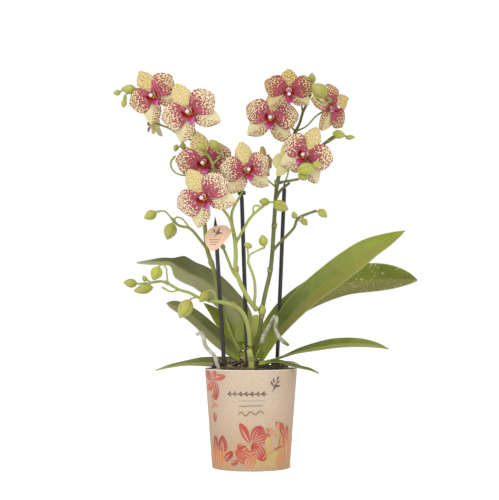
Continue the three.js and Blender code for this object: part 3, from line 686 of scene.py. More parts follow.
def makeStub():
    shape = Shape()
    half = stub["width"] / 2

    def radiusAt(share, travelled):  # a joint a little above its middle
        return half * (0.9 + 0.1 * math.exp(-((share - 0.55) / 0.12) ** 2))

    line, _ = addTube(shape, stub["route"], radiusAt, 18, 0.8, (0.0, 0, 1))
    top = line[-1] + Vector((0, 0, 0.9 * half))
    for ring, dark in ((0.82, 0.8), (0.35, 0.0)):  # the cut face: a dry rim and a pale middle
        rings = []
        for height, wide in ((-0.7, 1), (0.15, 1), (0.3, 0.8)):
            rings.append([shape.add(top + Vector((math.cos(a * math.pi / 9) * half * ring * wide,
                                                  math.sin(a * math.pi / 9) * half * ring * wide, height)),
                                    (0, 0, 1), (dark, 0.6, 1)) for a in range(18)])
        shape.loft(rings, shape.add(top + Vector((0, 0, -0.8)), (0, 0, 1), (dark, 0.6, 1)),
                   shape.add(top + Vector((0, 0, 0.3)), (0, 0, 1), (dark, 0.6, 1)))

    def bract(u, v):  # the dry scale leaf at the stub's joint
        middle = line[int(len(line) * 0.4)]
        angle = v * 1.5 * (1 - 0.8 * u ** 2) - math.pi / 2
        way = Vector((math.cos(angle), math.sin(angle), 0.1))
        return middle + Vector((0, 0, 4.5 * u)) + way * half * (1.02 + 0.2 * u), way
    addPlate(shape, 8, 8, bract, lambda u, v: 0.4, lambda u, v: ((u, u, 1), (0.8, 0.55)))
    makePiece("cut_spike_stub_end", shape, stemSkin, "stem", "cut_spike_stub")


def makeRoots():
    for name, root in roots.items():
        shape = Shape()
        seed = len(name) * 3.7

        def radiusAt(share, travelled, root=root, seed=seed):
            lump = noise.noise(Vector((travelled * 0.22, seed, 0)))
            end = 1 - 0.35 * step(share, 0.9, 1) - 0.2 * step(share, 0.1, 0)
            return root["width"] / 2 * (0.95 + 0.16 * lump) * end
        addTube(shape, root["route"], radiusAt, 14, 1.2, (root["tip"], root["pale"], 1))
        makePiece(name + "_skin", shape, rootSkin, "root", name)


makeCrown()
makeStub()
makeRoots()
print("crown, stub and roots made")


# flowers: at their middle; turn is yaw to the right, pitch down and roll clockwise, in degrees
flowers = {
    "flower_1": {"at": (-96.5, -20, 368), "turn": (-12, 8, -34), "size": 1.02, "warm": 0.3, "dark": 0.6},
    "flower_2": {"at": (-60.5, -32, 350), "turn": (-8, 8, -26), "size": 1.12, "warm": 0.1, "dark": 0.1},
    "flower_3": {"at": (-46.5, -22, 301.5), "turn": (-5, 12, -12), "size": 1.1, "warm": 0.2, "dark": 0.7},
    "flower_4": {"at": (-45.5, -50, 264.5), "turn": (-10, 10, -33), "size": 1.1, "warm": 0.0, "dark": 0.2},
    "flower_5": {"at": (-4.5, -36, 292.5), "turn": (15, 5, -12), "size": 1.0, "warm": 0.15, "dark": 0.2},
    "flower_6": {"at": (37, -38, 370.5), "turn": (0, 36, 0), "size": 0.96, "warm": 0.5, "dark": 1,
                 "dorsal": 0.8},
    "flower_7": {"at": (20, -17.5, 346.5), "turn": (-8, 8, 12), "size": 1.05, "warm": 0.2, "dark": 0.5},
    "flower_8": {"at": (81.5, -9, 358), "turn": (38, 4, 64), "size": 0.92, "warm": 0.5, "dark": 0.8},
    "flower_9": {"at": (53.5, -32, 307.5), "turn": (-20, 5, 27), "size": 1.05, "warm": 0.1, "dark": 0.4},
    "flower_10": {"at": (37, -9, 303.5), "turn": (160, 0, 10), "size": 0.63, "warm": 0.2, "dark": -1.2},
    "flower_11": {"at": (13, 4, 304), "turn": (50, 0, 0), "size": 0.6, "warm": 0.7, "dark": 1},
    "flower_12": {"at": (-99, 6, 344), "turn": (-110, 10, 0), "size": 0.62, "warm": 1.0, "dark": -0.6},
}
tepals = [  # angle from straight up, length, width, how far the tip bends back, where it stands
    {"angle": 0, "length": 28, "width": 18, "back": 2, "kind": "dorsal", "behind": 0.5},
    {"angle": 135, "length": 28, "width": 18, "back": 4, "kind": "lateral", "behind": 0.8},
    {"angle": -135, "length": 28, "width": 18, "back": 4, "kind": "lateral", "behind": 0.8},
    {"angle": 76, "length": 26, "width": 25, "back": 3, "kind": "petal", "behind": -0.5},
    {"angle": -76, "length": 26, "width": 25, "back": 3, "kind": "petal", "behind": -0.6},
]
boss = {"length": 6.4, "width": 6.6, "depth": 3.4}  # depth from the flower's middle to its back
stalkGap = 0.8


def poseOf(name):
    yaw, pitch, roll = (math.radians(angle) for angle in flowers[name]["turn"])
    return (Matrix.Translation(Vector(flowers[name]["at"]) + lift) @ Matrix.Rotation(yaw, 4, "Z")
            @ Matrix.Rotation(pitch, 4, "X") @ Matrix.Rotation(roll, 4, "Y")
            @ Matrix.Scale(flowers[name]["size"], 4))


def backOf(name):  # where a flower's pedicel ends, in the routes' own heights
    behind = poseOf(name) @ Vector((0, boss["depth"] + stalkGap / flowers[name]["size"], 0))
    return tuple(behind - lift)


def tepalOutline(kind, u):
    if kind == "petal":
        return max(0.13, math.sin(math.pi * min(1, 0.03 + 0.965 * u) ** 1.2) ** 0.72)
    return max(0.16, math.sin(math.pi * min(1, 0.05 + 0.945 * u) ** 1.08) ** 0.72)


def addTepal(shape, pose, tepal, flower, draw):
    kind = tepal["kind"]
    warm = flower["warm"]
    dark = flower["dark"]
    length = tepal["length"] * (flower.get("dorsal", 1) if kind == "dorsal" else 1)
    turn = math.radians(tepal["angle"] + draw.uniform(-4, 4))
    out = Vector((math.sin(turn), 0, math.cos(turn)))
    across = Vector((-math.cos(turn), 0, math.sin(turn)))
    lipSide = -1 if tepal["angle"] > 0 else 1
    seed = draw.uniform(0, 40)
    wave = draw.uniform(0, 6)
    ruffle = 1.1 if kind == "petal" else 0.5
    curl = draw.uniform(0.9, 1.6)
    tilt = draw.uniform(-0.8, 0.8)
    turnOnly = pose.to_3x3().normalized()

    def depthAt(u, v):
        width = tepal["width"] / 2 * tepalOutline(kind, u)
        depth = tepal["behind"] + tepal["back"] * u ** 2 * 0.8 + curl * v * v * u
        depth += ruffle * abs(v) ** 2.5 * math.sin(8 * u + wave + v) * step(u, 0.1, 0.4)
        depth += 0.5 * math.exp(-(v * width / 1.1) ** 2) * (1 - u)
        return depth + tilt * v * u

    def placeAt(u, v):
        width = tepal["width"] / 2 * tepalOutline(kind, u)
        spot = out * (0.8 + u * (length - 0.8)) + across * (v * width) + Vector((0, depthAt(u, v), 0))
        return pose @ spot, turnOnly @ Vector((0, -1, 0))

    def marksAt(u, v):
        width = tepal["width"] / 2 * tepalOutline(kind, u)
        edge = max(step(abs(v), 0.86, 1.0), step(u, 0.93, 1.0))
        if kind == "petal":
            flush = 1 - step(u + 0.1 * v * v, 0.2, 0.9)
            spots = 0.52 + 0.22 * dark + 0.75 * (1 - step(u + 0.15 * v * v, 0.1, 0.85)) + 0.25 * edge
            ground = 0.1 + 0.9 * warm
        elif kind == "dorsal":
            flush = 1 - step(u, 0.1, 0.45)
            spots = (0.3 + 0.25 * dark + 0.9 * (1 - step(u, 0.04, 0.3))
                     + 0.2 * edge * (1 - step(u, 0.8, 0.95)))
            ground = 0.6 + 0.3 * warm
        else:
            inner = step(v * lipSide, -0.3, 0.4)
            flush = inner * (1 - step(u, 0.15, 0.55))
            spots = (0.05 + (0.45 + 0.2 * dark) * inner + 0.9 * inner * (1 - step(u, 0.08, 0.42))
                     + 0.15 * edge)
            ground = 0.25 + 0.4 * warm
        rows = 0.8 + u * length / 1.75 + seed * 3
        return (v * (1.8 + width * 0.5) + seed, rows, min(1, ground)), (spots, flush)

    addPlate(shape, 22, 14, placeAt, lambda u, v: blendOf(0.75, 0.35, abs(v)), marksAt)


def addLip(shape, pose):
    turnOnly = pose.to_3x3().normalized()

    def lobe(u, v, side):  # the lobes that stand beside the column
        out = 2.1 + 3.2 * math.sin(1.7 * u) + 0.8 * v
        depth = -2.6 - 4.6 * u - 1.6 * v * (1 - 0.3 * u)
        place = Vector((side * out, depth, -3.0 + 6.2 * u ** 1.3 - 2.2 * v))
        return pose @ place, turnOnly @ Vector((side * -0.8, -0.3, 0.3)).normalized()

    for side in (-1, 1):
        addPlate(shape, 9, 8,
                 lambda u, v, side=side: lobe(u, v * tepalOutline("dorsal", u), side),
                 lambda u, v: 0.55, lambda u, v: ((u, v, 0), (0.12 + 0.42 * u, 0.0)))

    def tongue(u, v):  # the middle lobe, with an arrow-shaped end
        wide = 1.5 + 2.5 * math.exp(-((u - 0.52) / 0.2) ** 2) - 0.9 * step(u, 0.75, 1)
        depth = -3.0 - 7.6 * math.sin(1.9 * u) + 0.9 * v * v
        place = Vector((v * wide, depth, -1.8 - 11.2 * u + 0.9 * v * v))
        return pose @ place, turnOnly @ Vector((0, -1, 0.35)).normalized()

    addPlate(shape, 14, 8, tongue, lambda u, v: 1.3 - 0.6 * abs(v),
             lambda u, v: ((u, v, 1), (0.25 + 0.72 * u, 0.25 * step(u, 0.8, 1))))
    spots = [  # the callus, its two horns, the column and its white cap
        ((0, -4.6, -2.0), (0, -0.8, 0.6), 3.4, 2.8, (0.0, 0.0, 1)),
        ((-0.9, -5.8, -1.2), (-0.3, -1, 0.8), 2.6, 0.9, (0.1, 0.0, 1)),
        ((0.9, -5.8, -1.2), (0.3, -1, 0.8), 2.6, 0.9, (0.1, 0.0, 1)),
        ((0, -5.0, 0.9), (0, -1, -0.08), 9.4, 4.5, (0.72, 0.1, 1)),
        ((0, -9.4, 0.5), (0, -1, -0.35), 3.6, 3.6, (0.95, 0.9, 1)),
    ]
    for centre, along, length, width, tone in spots:
        place = pose @ Vector(centre)
        size = pose.to_scale().x
        addEgg(shape, place, turnOnly @ Vector(along), length * size, width * size, 14, 9, 0.0, 0.75, tone, 1,
               True)


def makeFlower(name, flower, draw):
    pose = poseOf(name)
    shape = Shape()
    for tepal in tepals:
        addTepal(shape, pose, tepal, flower, draw)
    size = flower["size"]
    heading = pose.to_3x3().normalized() @ Vector((0, 1, 0))
    place = pose @ Vector((0, 0.3, 0))
    start = len(shape.points)  # the boss that the tepals grow from
    addEgg(shape, place, heading, boss["length"] * size, boss["width"] * size, 14, 9, 0.06, 0.8,
           (0.1, 0.9, 1), 1, True)
    for i in range(start, len(shape.points)):
        behind = (shape.points[i] - place).dot(heading) > 0.4
        shape.marks["map"][i] = (i * 0.2, i * 0.1, 0.6)
        shape.marks["tone"][i] = (0.1, 0.0 if behind else 0.9, 0 if behind else 1)
    makePiece(name + "_sepals_and_petals", shape, tepalSkin, "tepal", name + "_tepals", sharp=75)
    lip = Shape()
    addLip(lip, pose)
    makePiece(name + "_lip_and_column", lip, lipSkin, "lip", name + "_lip", sharp=75)


draw = random.Random(23)
for name, flower in flowers.items():
    makeFlower(name, flower, draw)
print("flowers made")


# buds on their own pedicels
buds = {
    "bud_left_arch": {"at": (-80.5, -12, 234), "along": (-0.35, 0, -1), "size": (18, 13), "look": (0.3, 0.3)},
    "bud_left_tip": {"at": (-100, -12, 250), "along": (-1, 0, -0.5), "size": (14, 10), "look": (0.1, 0.6)},
    "bud_low_large": {"at": (-65, -24, 157), "along": (-0.6, 0, -1), "size": (21, 15), "look": (0.35, 0.8)},
    "bud_low_upper": {"at": (-93.5, -21, 192), "along": (-0.4, 0, -1), "size": (15, 12), "look": (0.0, 1.0)},
    "bud_low_end": {"at": (-119, -18, 182.5), "along": (-1, 0, 0.1), "size": (14, 9), "look": (0.2, 0.2)},
    "bud_top_large": {"at": (66, -47, 369), "along": (-0.7, 0, 0.6), "size": (19, 15), "look": (0.5, 0.3)},
    "bud_middle_large": {"at": (29, -32, 257.5), "along": (1, 0, -0.5), "size": (17, 11), "look": (0.2, 0.4)},
    "bud_middle_round": {"at": (12, -28, 224), "along": (-0.2, 0, 1), "size": (12, 9), "look": (0.1, 0.7)},
}


def budBase(name):
    bud = buds[name]
    reach = Vector(bud["along"]).normalized() * -(bud["size"][0] / 2 + stalkGap)
    return tuple(Vector(bud["at"]) + reach)


for name, bud in buds.items():
    shape = Shape()
    length, width = bud["size"]
    addEgg(shape, bud["at"], bud["along"], length, width, 30, 20, 0.045, 0.8, (*bud["look"], 1), 0.94)
    makePiece(name + "_closed", shape, budSkin, "bud", name)
print("buds made")


# spikes: routes of each stem, branch and pedicel, and the small buds that close them
knuckle = (11, -18, 156)
branchFoot = (4.9, -21, 157)
stalks = {"stem": 4.6, "branch": 3, "pedicel": 2.2, "joint": 46, "jointSwell": 0.22, "jointReach": 18}
spikes = {
    "spike_left": {
        "ageAndLight": 0.5,
        "stems": [[(-11, -7, 116), (-21, -9, 135), (-28.5, -9.5, 158), (-32, -10, 172), (-37, -10, 196),
                   (-43.5, -9, 216), (-46, -9, 240), (-49, -8, 260), (-53, -3, 285), (-55, -2, 310),
                   (-57, -4, 335)]],
        "branches": [
            [(-57, -4, 335), (-66, -4, 350), (-78, -5, 362), (-90, -8, 369)],
            [(-90, -8, 369), (-104, -6, 374), (-114, -7, 377)],
            [(-46, -9, 240), (-44, -14, 258), (-38, -27, 278), (-36, -33, 290), (-40, -34, 304),
             (-49, -36, 314)],
            [(-43.5, -9, 216), (-51, -10, 226), (-61, -10, 237), (-72, -11, 240), (-79, -12, 247)],
            [(-55, -2, 305), (-62, -4, 316), (-69, -6, 319)],
        ],
        "pedicels": [
            [(-57, -4, 333), (-58, -14, 347), backOf("flower_2")],
            [(-88, -8, 368), (-93, -10, 369), backOf("flower_1")],
            [(-53, -3, 285), (-51, -7, 297), backOf("flower_3")],
            [(-56, -3, 325), (-70, -1, 330), (-82, 0, 338), backOf("flower_12")],
            [(-37, -34, 299), (-31, -36, 305), (-29, -37, 312), (-33, -37, 316)],
            [(-61, -10, 237), (-68, -12, 246), (-74, -12, 248), budBase("bud_left_arch")],
            [(-79, -12, 247), (-86, -12, 254), budBase("bud_left_tip")],
            [(-54, -3, 295), (-66, -8, 290), (-77, -9, 294), (-80, -9, 303), (-76, -8, 309)],
            [(-114, -7, 377), (-126, -8, 376), (-134, -9, 373)],
            [(-120, -8, 376), (-126, -9, 369), (-127, -9, 361)],
            [(-66, -5, 318), (-72, -7, 319), (-75, -7, 316)],
            [(-66, -5, 318), (-68, -6, 322)],
        ],
        "buds": [
            [(-134, -9, 373), (-1, 0, -0.1), 8, 6], [(-122, -8, 376.5), (-1, 0, 0.1), 16, 10],
            [(-127, -9, 362), (-0.2, 0, -1), 9, 6], [(-126, -8, 368), (0, 0, 1), 8, 4],
            [(-49, -37, 315.5), (-1, 0, 0.4), 12, 8], [(-36, -38, 317), (-0.6, 0, 0.7), 13, 10],
            [(-75, -7, 317.5), (-0.4, 0, -1), 8, 5.5], [(-68, -6, 320), (-0.2, 0, 1), 9, 6],
        ],
    },
    "spike_middle": {
        "ageAndLight": 0.15,
        "stems": [[branchFoot, (0, -26, 163), (-6, -29, 173), (-12, -29, 186), (-15, -28, 196),
                   (-15, -26, 211), (-16, -24, 226), (-18, -24, 236)]],
        "branches": [
            [(-18, -24, 236), (-22, -28, 247), (-29, -34, 256)],
            [(-18, -24, 236), (-19, -24, 251), (-16, -24, 259), (-12, -23, 266)],
            [(-15, -25, 222), (-8, -26, 234), (-1, -27, 246), (6, -27, 253), (12, -27, 258)],
            [(-12, -29, 186), (-17, -26, 192), (-22, -17, 204), (-28, -11, 219)],
            [(3, -24, 161), (4, -26, 172), (3, -27, 186), (-3, -28, 203)],
        ],
        "pedicels": [
            [(-29, -34, 256), (-37, -42, 262), backOf("flower_4")],
            [(-12, -23, 266), (-7, -22, 276), (-5, -24, 290), backOf("flower_5")],
            [(12, -27, 258), (17, -28, 261), budBase("bud_middle_large")],
            [(-3, -28, 203), (-1, -28, 210), (4, -28, 213), budBase("bud_middle_round")],
            [(-3, -28, 203), (-3, -28, 211), (-4, -28, 219)],
            [(2, -27, 250), (3, -28, 258), (8, -29, 258)],
        ],
        "buds": [
            [(13, -29, 262), (-1, 0, 0.1), 11, 8], [(-3, -28, 219), (-1, 0, 0.4), 9, 6],
            [(-28, -11, 219), (-0.4, 0, 1), 7, 5],
        ],
    },
    "spike_right": {
        "ageAndLight": 0.85,
        "stems": [[(1, -8.5, 107), (5, -12, 120), (9, -16, 138), (11, -18, 156), (14.5, -16, 174),
                   (18.5, -14, 191), (21, -11, 211), (22, -8, 226), (23, -3, 241), (24, 2, 256), (25, 6, 271),
                   (27, 9, 286), (32, 13, 305), (39, 12, 322), (45, 7, 336)]],
        "branches": [
            [(45, 7, 336), (49, 3, 344), (52, -2, 354), (56, -12, 362), (59, -24, 372)],
            [(21, -10, 214), (29, -12, 223), (36, -13, 230), (43, -14, 238), (46, -14, 246), (53, -14, 250),
             (64, -15, 254)],
            [(27, 9, 284), (31, -2, 284), (38, -14, 284), (46, -30, 284)],
            [(40, 12, 324), (55, 6, 319), (66, 0, 318), (74, -4, 323), (82, -6, 329)],
            [(25, 4, 268), (30, -3, 276), (38, -8, 282)],
        ],
        "pedicels": [
            [(45, 7, 336), (56, 3, 341), (66, -1, 351), backOf("flower_8")],
            [(52, -2, 354), (50, -8, 362), (44, -20, 371), backOf("flower_6")],
            [(45, 7, 336), (36, 4, 345), (26, -8, 349), backOf("flower_7")],
            [(40, 12, 322), (50, -4, 316), backOf("flower_9")],
            [(59, -24, 372), (57, -28, 380), (52, -30, 383)],
            [(59, -24, 372), (60, -28, 378)],
            [(59, -24, 372), (62, -32, 369), (64, -40, 362), (71, -46, 357), (78, -47, 359),
             budBase("bud_top_large")],
            [(46, -14, 246), (51, -14, 243)],
            [(46, -14, 246), (43, -14, 250)],
            [(64, -15, 254), (71, -15, 251)],
            [(46, -30, 284), (50, -37, 286), (54, -43, 293)],
            [(54, -43, 293), (64, -44, 297)],
            [(88, -8, 331), (99, -9, 328)],
            [(70, -2, 320), (78, -6, 324), (84, -7, 328)],
            [(27, 9, 284), (31, -2, 283), (35, -14, 286), (37, -16, 294), backOf("flower_10")],
            [(26, 8, 279), (17, 16, 288), (8, 15, 300), backOf("flower_11")],
        ],
        "buds": [
            [(51, -30, 383), (-1, 0, 0.1), 13, 8], [(60, -28, 384), (0, 0, 1), 12, 8],
            [(71, -15, 251.5), (0.7, 0, -0.6), 12, 8], [(53, -14, 243), (0.5, 0, -0.6), 9, 6.5],
            [(43, -14, 250), (-0.3, 0, 1), 8, 6], [(54, -43, 293), (1, 0, 0.2), 19, 12],
            [(50, -36, 286), (-0.4, -0.4, 0.2), 14, 7], [(64, -44, 297), (1, 0, 0.3), 10, 7],
            [(88, -8, 331), (1, 0, -0.2), 14, 9], [(99, -9, 328), (1, 0, 0.1), 10, 5],
        ],
    },
    "spike_low": {
        "ageAndLight": 0.3,
        "stems": [[(-1, -22, 122), (-3, -28, 140), (-8, -31.5, 153), (-16, -31, 160), (-29, -28, 163.5),
                   (-41, -26, 165)]],
        "branches": [
            [(-41, -26, 165), (-51, -24, 168), (-61, -22, 173), (-71, -20, 176), (-82, -19, 182),
             (-88, -18, 184), (-98, -18, 183)],
        ],
        "pedicels": [
            [(-98, -18, 183), (-105, -18, 182.5), budBase("bud_low_end")],
            [(-82, -19, 182), (-83, -20, 191), (-83.5, -20, 197), (-87, -20, 201), budBase("bud_low_upper")],
            [(-34, -27, 165), (-36, -31, 173), (-41, -32, 175), (-44, -32, 171)],
            [(-51, -24, 168), (-56, -25, 168), budBase("bud_low_large")],
            [(-71, -20, 176), (-79, -20, 174), (-87, -20, 178)],
            [(-98, -18, 183), (-105, -18, 187)],
            [(-98, -18, 183), (-106, -19, 177)],
        ],
        "buds": [
            [(-106, -20, 176.5), (-1, 0, -0.2), 20, 10], [(-46, -32, 169), (-0.6, 0, -0.8), 14, 9],
            [(-105, -18, 187), (-0.5, 0, 1), 7, 5],
        ],
    },
}


def addBract(shape, place, heading, way, reach, length):  # a dry scale at a stem's joint
    side = heading.cross(way).normalized()

    def placeAt(u, v):
        angle = v * 1.7 * (1 - u ** 1.5)
        around = way * math.cos(angle) + side * math.sin(angle)
        return place + heading * (u * length - 1) + around * (reach * (1.02 + 0.25 * u)), around

    addPlate(shape, 7, 6, placeAt, lambda u, v: 0.35,
             lambda u, v: ((u, u, 1), (0.5 + 0.3 * u, 0.45 + 0.4 * u)))


def makeSpike(name, spike, draw):
    shape = Shape()
    ageAndLight = spike["ageAndLight"]
    for kind, routes in (("stem", "stems"), ("branch", "branches"), ("pedicel", "pedicels")):
        half = stalks[kind] / 2
        for route in spike[routes]:
            def radiusAt(share, travelled, half=half, kind=kind):
                if kind == "pedicel":
                    return half * (0.72 + 0.28 * step(abs(share - 0.45), 0.15, 0.5))
                reach = stalks["jointReach"]
                joint = abs((travelled + reach) % stalks["joint"] - reach)
                return half * (0.98 - 0.12 * share + stalks["jointSwell"] * math.exp(-(joint / 2.2) ** 2))
            tone = (ageAndLight * (0.55 if kind == "pedicel" else 1), 0.0, 1)
            line, total = addTube(shape, route, radiusAt, 12 if kind == "stem" else 9, 2.0, tone)
            if kind == "pedicel":
                continue
            travelled = stalks["joint"]
            side = 1
            while travelled < total - 4:
                at = int(travelled / total * (len(line) - 1))
                heading = (line[at + 1] - line[at]).normalized()
                way = (Vector((side, -0.5, 0)) - heading * Vector((side, -0.5, 0)).dot(heading)).normalized()
                addBract(shape, line[at], heading, way, half * 1.12, 5 if kind == "stem" else 3.5)
                travelled += stalks["joint"]
                side = -side
    makePiece(name + "_stalks", shape, stemSkin, "stem", name)
    closed = Shape()
    for centre, along, length, width in spike["buds"]:
        addEgg(closed, centre, along, length, width, 20, 14, 0.04, 0.85,
               (draw.uniform(0, 0.5), draw.uniform(0.1, 0.8), 1), 0.95)
    makePiece(name + "_buds", closed, budSkin, "bud", name)


draw = random.Random(5)
for name, spike in spikes.items():
    makeSpike(name, spike, draw)
joint = Shape()  # the swelling that three stems rise from
addEgg(joint, knuckle, (0, 0, 1), 13, 8, 24, 16, 0.05, 0.8, (0.0, 0.1, 1))
makePiece("spike_right_knuckle", joint, stemSkin, "stem", "spike_right")
print("spikes made")


# pot: sleeve, its print, growing pot and bark
sleeve = {"wall": 0.7, "foot": 77 / 2, "seamAngle": 168, "seamWidth": 7, "baseUp": 1.0, "segments": 180}


def sleeveRadius(height):
    return blendOf(sleeve["foot"], rimRadius, height / sleeveHeight)


def onSleeve(across, height, proud):  # millimetres round from the front and up, to a point on the card
    radius = sleeveRadius(height)
    angle = across / radius
    return Vector(((radius + proud) * math.sin(angle), -(radius + proud) * math.cos(angle), height))


def kraftColour(finish):
    place = finish.position()
    x, _, height = finish.split(place)
    fibre = finish.noise(finish.stretch(place, 1, 1, 2.6), 380, 5, 0.7)
    cloud = finish.noise(place, 26, 3)
    fleck = finish.cells(finish.stretch(place, 1, 1, 1.8), 520)
    # darker and more orange towards the bottom: partly the card's own tone, partly painted shade
    card = finish.mix(finish.smooth(height, 0.002, 0.075), tint(205, 172, 136), tint(226, 203, 180))
    card = finish.mix((cloud - 0.35) * 0.5, card, tint(203, 174, 142))
    card = finish.mix(finish.smooth(fibre, 0.5, 0.72) * 0.35, card, tint(240, 224, 204))
    card = finish.mix(finish.smooth(fibre, 0.46, 0.3) * 0.3, card, tint(172, 138, 104))
    card = finish.mix(finish.smooth(fleck, 0.17, 0.08) * 0.45, card, tint(140, 104, 72))
    # painted shade: the card darker towards its left and right sides
    card = finish.mix(finish.smooth(abs(x), 0.012, 0.045) * 0.45, card, tint(190, 158, 130))
    return card, fibre


def kraftFinish():
    finish = Finish("kraftCard", Roughness=0.85, Specular_IOR_Level=0.2)
    card, fibre = kraftColour(finish)
    edge = finish.mark("map")[0]
    finish.feed("Base Color", finish.mix(edge, card, tint(250, 238, 218)))
    finish.relief(fibre, 0.00025, 0.5)
    return finish


def printFinish():
    finish = Finish("flowerPrint", Roughness=0.7, Specular_IOR_Level=0.25)
    card, fibre = kraftColour(finish)
    u, v, fan = finish.mark("map")
    hue, strength, _ = finish.mark("tone")
    wash = finish.noise(finish.position(), 150, 4)
    grain = finish.noise(finish.position(), 900, 3)
    ink = finish.node("ValToRGB", {"stops": [
        (0.0, tint(88, 66, 62)), (0.16, tint(128, 104, 96)), (0.3, tint(158, 40, 48)),
        (0.45, tint(206, 62, 54)), (0.6, tint(214, 92, 50)), (0.78, tint(224, 142, 70)),
        (1.0, tint(214, 190, 96))]}, {0: hue + (wash - 0.5) * 0.16 * finish.smooth(hue, 0.18, 0.3)})
    lines = finish.node("Math", {"operation": "SINE"}, {0: v * fan + (wash - 0.5) * 1.6})
    veins = finish.smooth(lines, 0.62, 0.92) * finish.smooth(u, 0.95, 0.3) * finish.smooth(fan, 1, 4)
    ink = finish.mix(veins * 0.75, ink, tint(244, 222, 196))
    ink = finish.mix(finish.smooth(grain, 0.5, 0.75) * 0.25, ink, tint(238, 196, 170))
    cover = strength * (0.88 + (wash - 0.5) * 0.7)
    finish.feed("Base Color", finish.mix(cover, card, ink))
    finish.relief(fibre, 0.0002, 0.4)
    return finish


def makeSleeve(finish):
    count = sleeve["segments"]
    wall = sleeve["wall"]
    shape = Shape()
    rings = []
    profile = [(sleeve["baseUp"] + 0.9, -wall), (3, -wall)]  # height, and how far in from the outside
    profile += [(height, -wall) for height in (20, 40, 60, 80, 92, sleeveHeight - 0.5)]
    profile += [(sleeveHeight - 0.12, -wall * 0.8), (sleeveHeight, -wall / 2),
                (sleeveHeight - 0.12, -wall * 0.2), (sleeveHeight - 0.45, 0), (sleeveHeight - 0.9, 0)]
    profile += [(height, 0) for height in (92, 80, 60, 40, 20, 6, 1.2, 0.3)]
    profile += [(0, -0.15), (0, -wall), (sleeve["baseUp"], -wall - 0.1)]
    for height, inset in profile:
        bright = 1 if height > sleeveHeight - 0.6 else 0
        radius = sleeveRadius(height) + inset
        rings.append([shape.add((radius * math.sin(2 * math.pi * i / count),
                                 -radius * math.cos(2 * math.pi * i / count), height), (bright, 0, 0))
                      for i in range(count)])
    shape.loft(rings, shape.add((0, 0, sleeve["baseUp"] + 0.9)), shape.add((0, 0, sleeve["baseUp"])))
    middle = math.radians(sleeve["seamAngle"])

    def seam(u, v):  # the glued lap at the back
        height = blendOf(0.4, sleeveHeight - 0.3, u)
        half = sleeve["seamWidth"] / 2 / sleeveRadius(height)
        angle = middle + v * half
        way = Vector((math.sin(angle), -math.cos(angle), 0))
        return way * (sleeveRadius(height) + 0.22 * step(v, 1, 0.9) - 0.02) + Vector((0, 0, height)), way

    addPlate(shape, 24, 8, seam, lambda u, v: 0.22, lambda u, v: ((0, 0, 0), (0, 0)))
    makePiece("sleeve_card", shape, finish, "kraft_card", "pot_sleeve", sharp=35)


class Print:  # flat shapes laid on the sleeve, each a hair above the last
    def __init__(self):
        self.shape = Shape()
        self.layer = 0

    def leaf(self, across, height, aim, length, width, hue, fan=9.0, strength=1.0, bend=0.0, point=0.7,
             fade=0.0, rows=12):
        self.layer += 1
        proud = 0.05 + 0.006 * self.layer
        turn = math.radians(aim)

        def placeAt(u, v):
            half = width / 2 * max(0.03, math.sin(math.pi * (0.02 + 0.96 * u) ** 0.95) ** point)
            ahead = u * length
            side = v * half + bend * math.sin(math.pi * u)
            x = across + math.cos(turn) * ahead - math.sin(turn) * side
            z = height + math.sin(turn) * ahead + math.cos(turn) * side
            z = min(sleeveHeight - 1.2, max(0.8, z))
            spot = onSleeve(x, z, proud)
            return spot, Vector((spot.x, spot.y, 0)).normalized()

        addPlate(self.shape, rows, 8, placeAt, lambda u, v: 0.06,
                 lambda u, v: ((u, v, fan), (hue + 0.12 * fade * u, strength * (1 - fade * (1 - u) ** 1.5))))

    def line(self, points, width, hue, strength=1.0):
        for (x, z), (x2, z2) in zip(points, points[1:]):
            aim = math.degrees(math.atan2(z2 - z, x2 - x))
            self.leaf(x, z, aim, math.hypot(x2 - x, z2 - z), width, hue, 0, strength, 0, 0.12, 0, 5)

    def bloom(self, across, height, size, aim, hue):  # a generic five-petalled flower with a cupped lip
        for turn, long, wide, bend in ((90, 1, 0.5, 0.1), (20, 0.95, 0.85, 0.05), (160, 0.95, 0.85, -0.05),
                                       (-35, 0.95, 0.5, 0.1), (215, 0.95, 0.5, -0.1)):
            angle = math.radians(aim + turn)
            x = across + math.cos(angle) * size * 0.1
            z = height + math.sin(angle) * size * 0.1
            self.leaf(x, z, aim + turn, size * long, size * wide, hue + 0.03 * math.sin(turn), 11, 0.95,
                      size * bend, 0.6, 0.25)
        for turn, long in ((-75, 0.42), (-105, 0.42), (-90, 0.55)):
            self.leaf(across, height, aim + turn, size * long, size * 0.24, hue - 0.1, 0, 1, 0, 0.8)


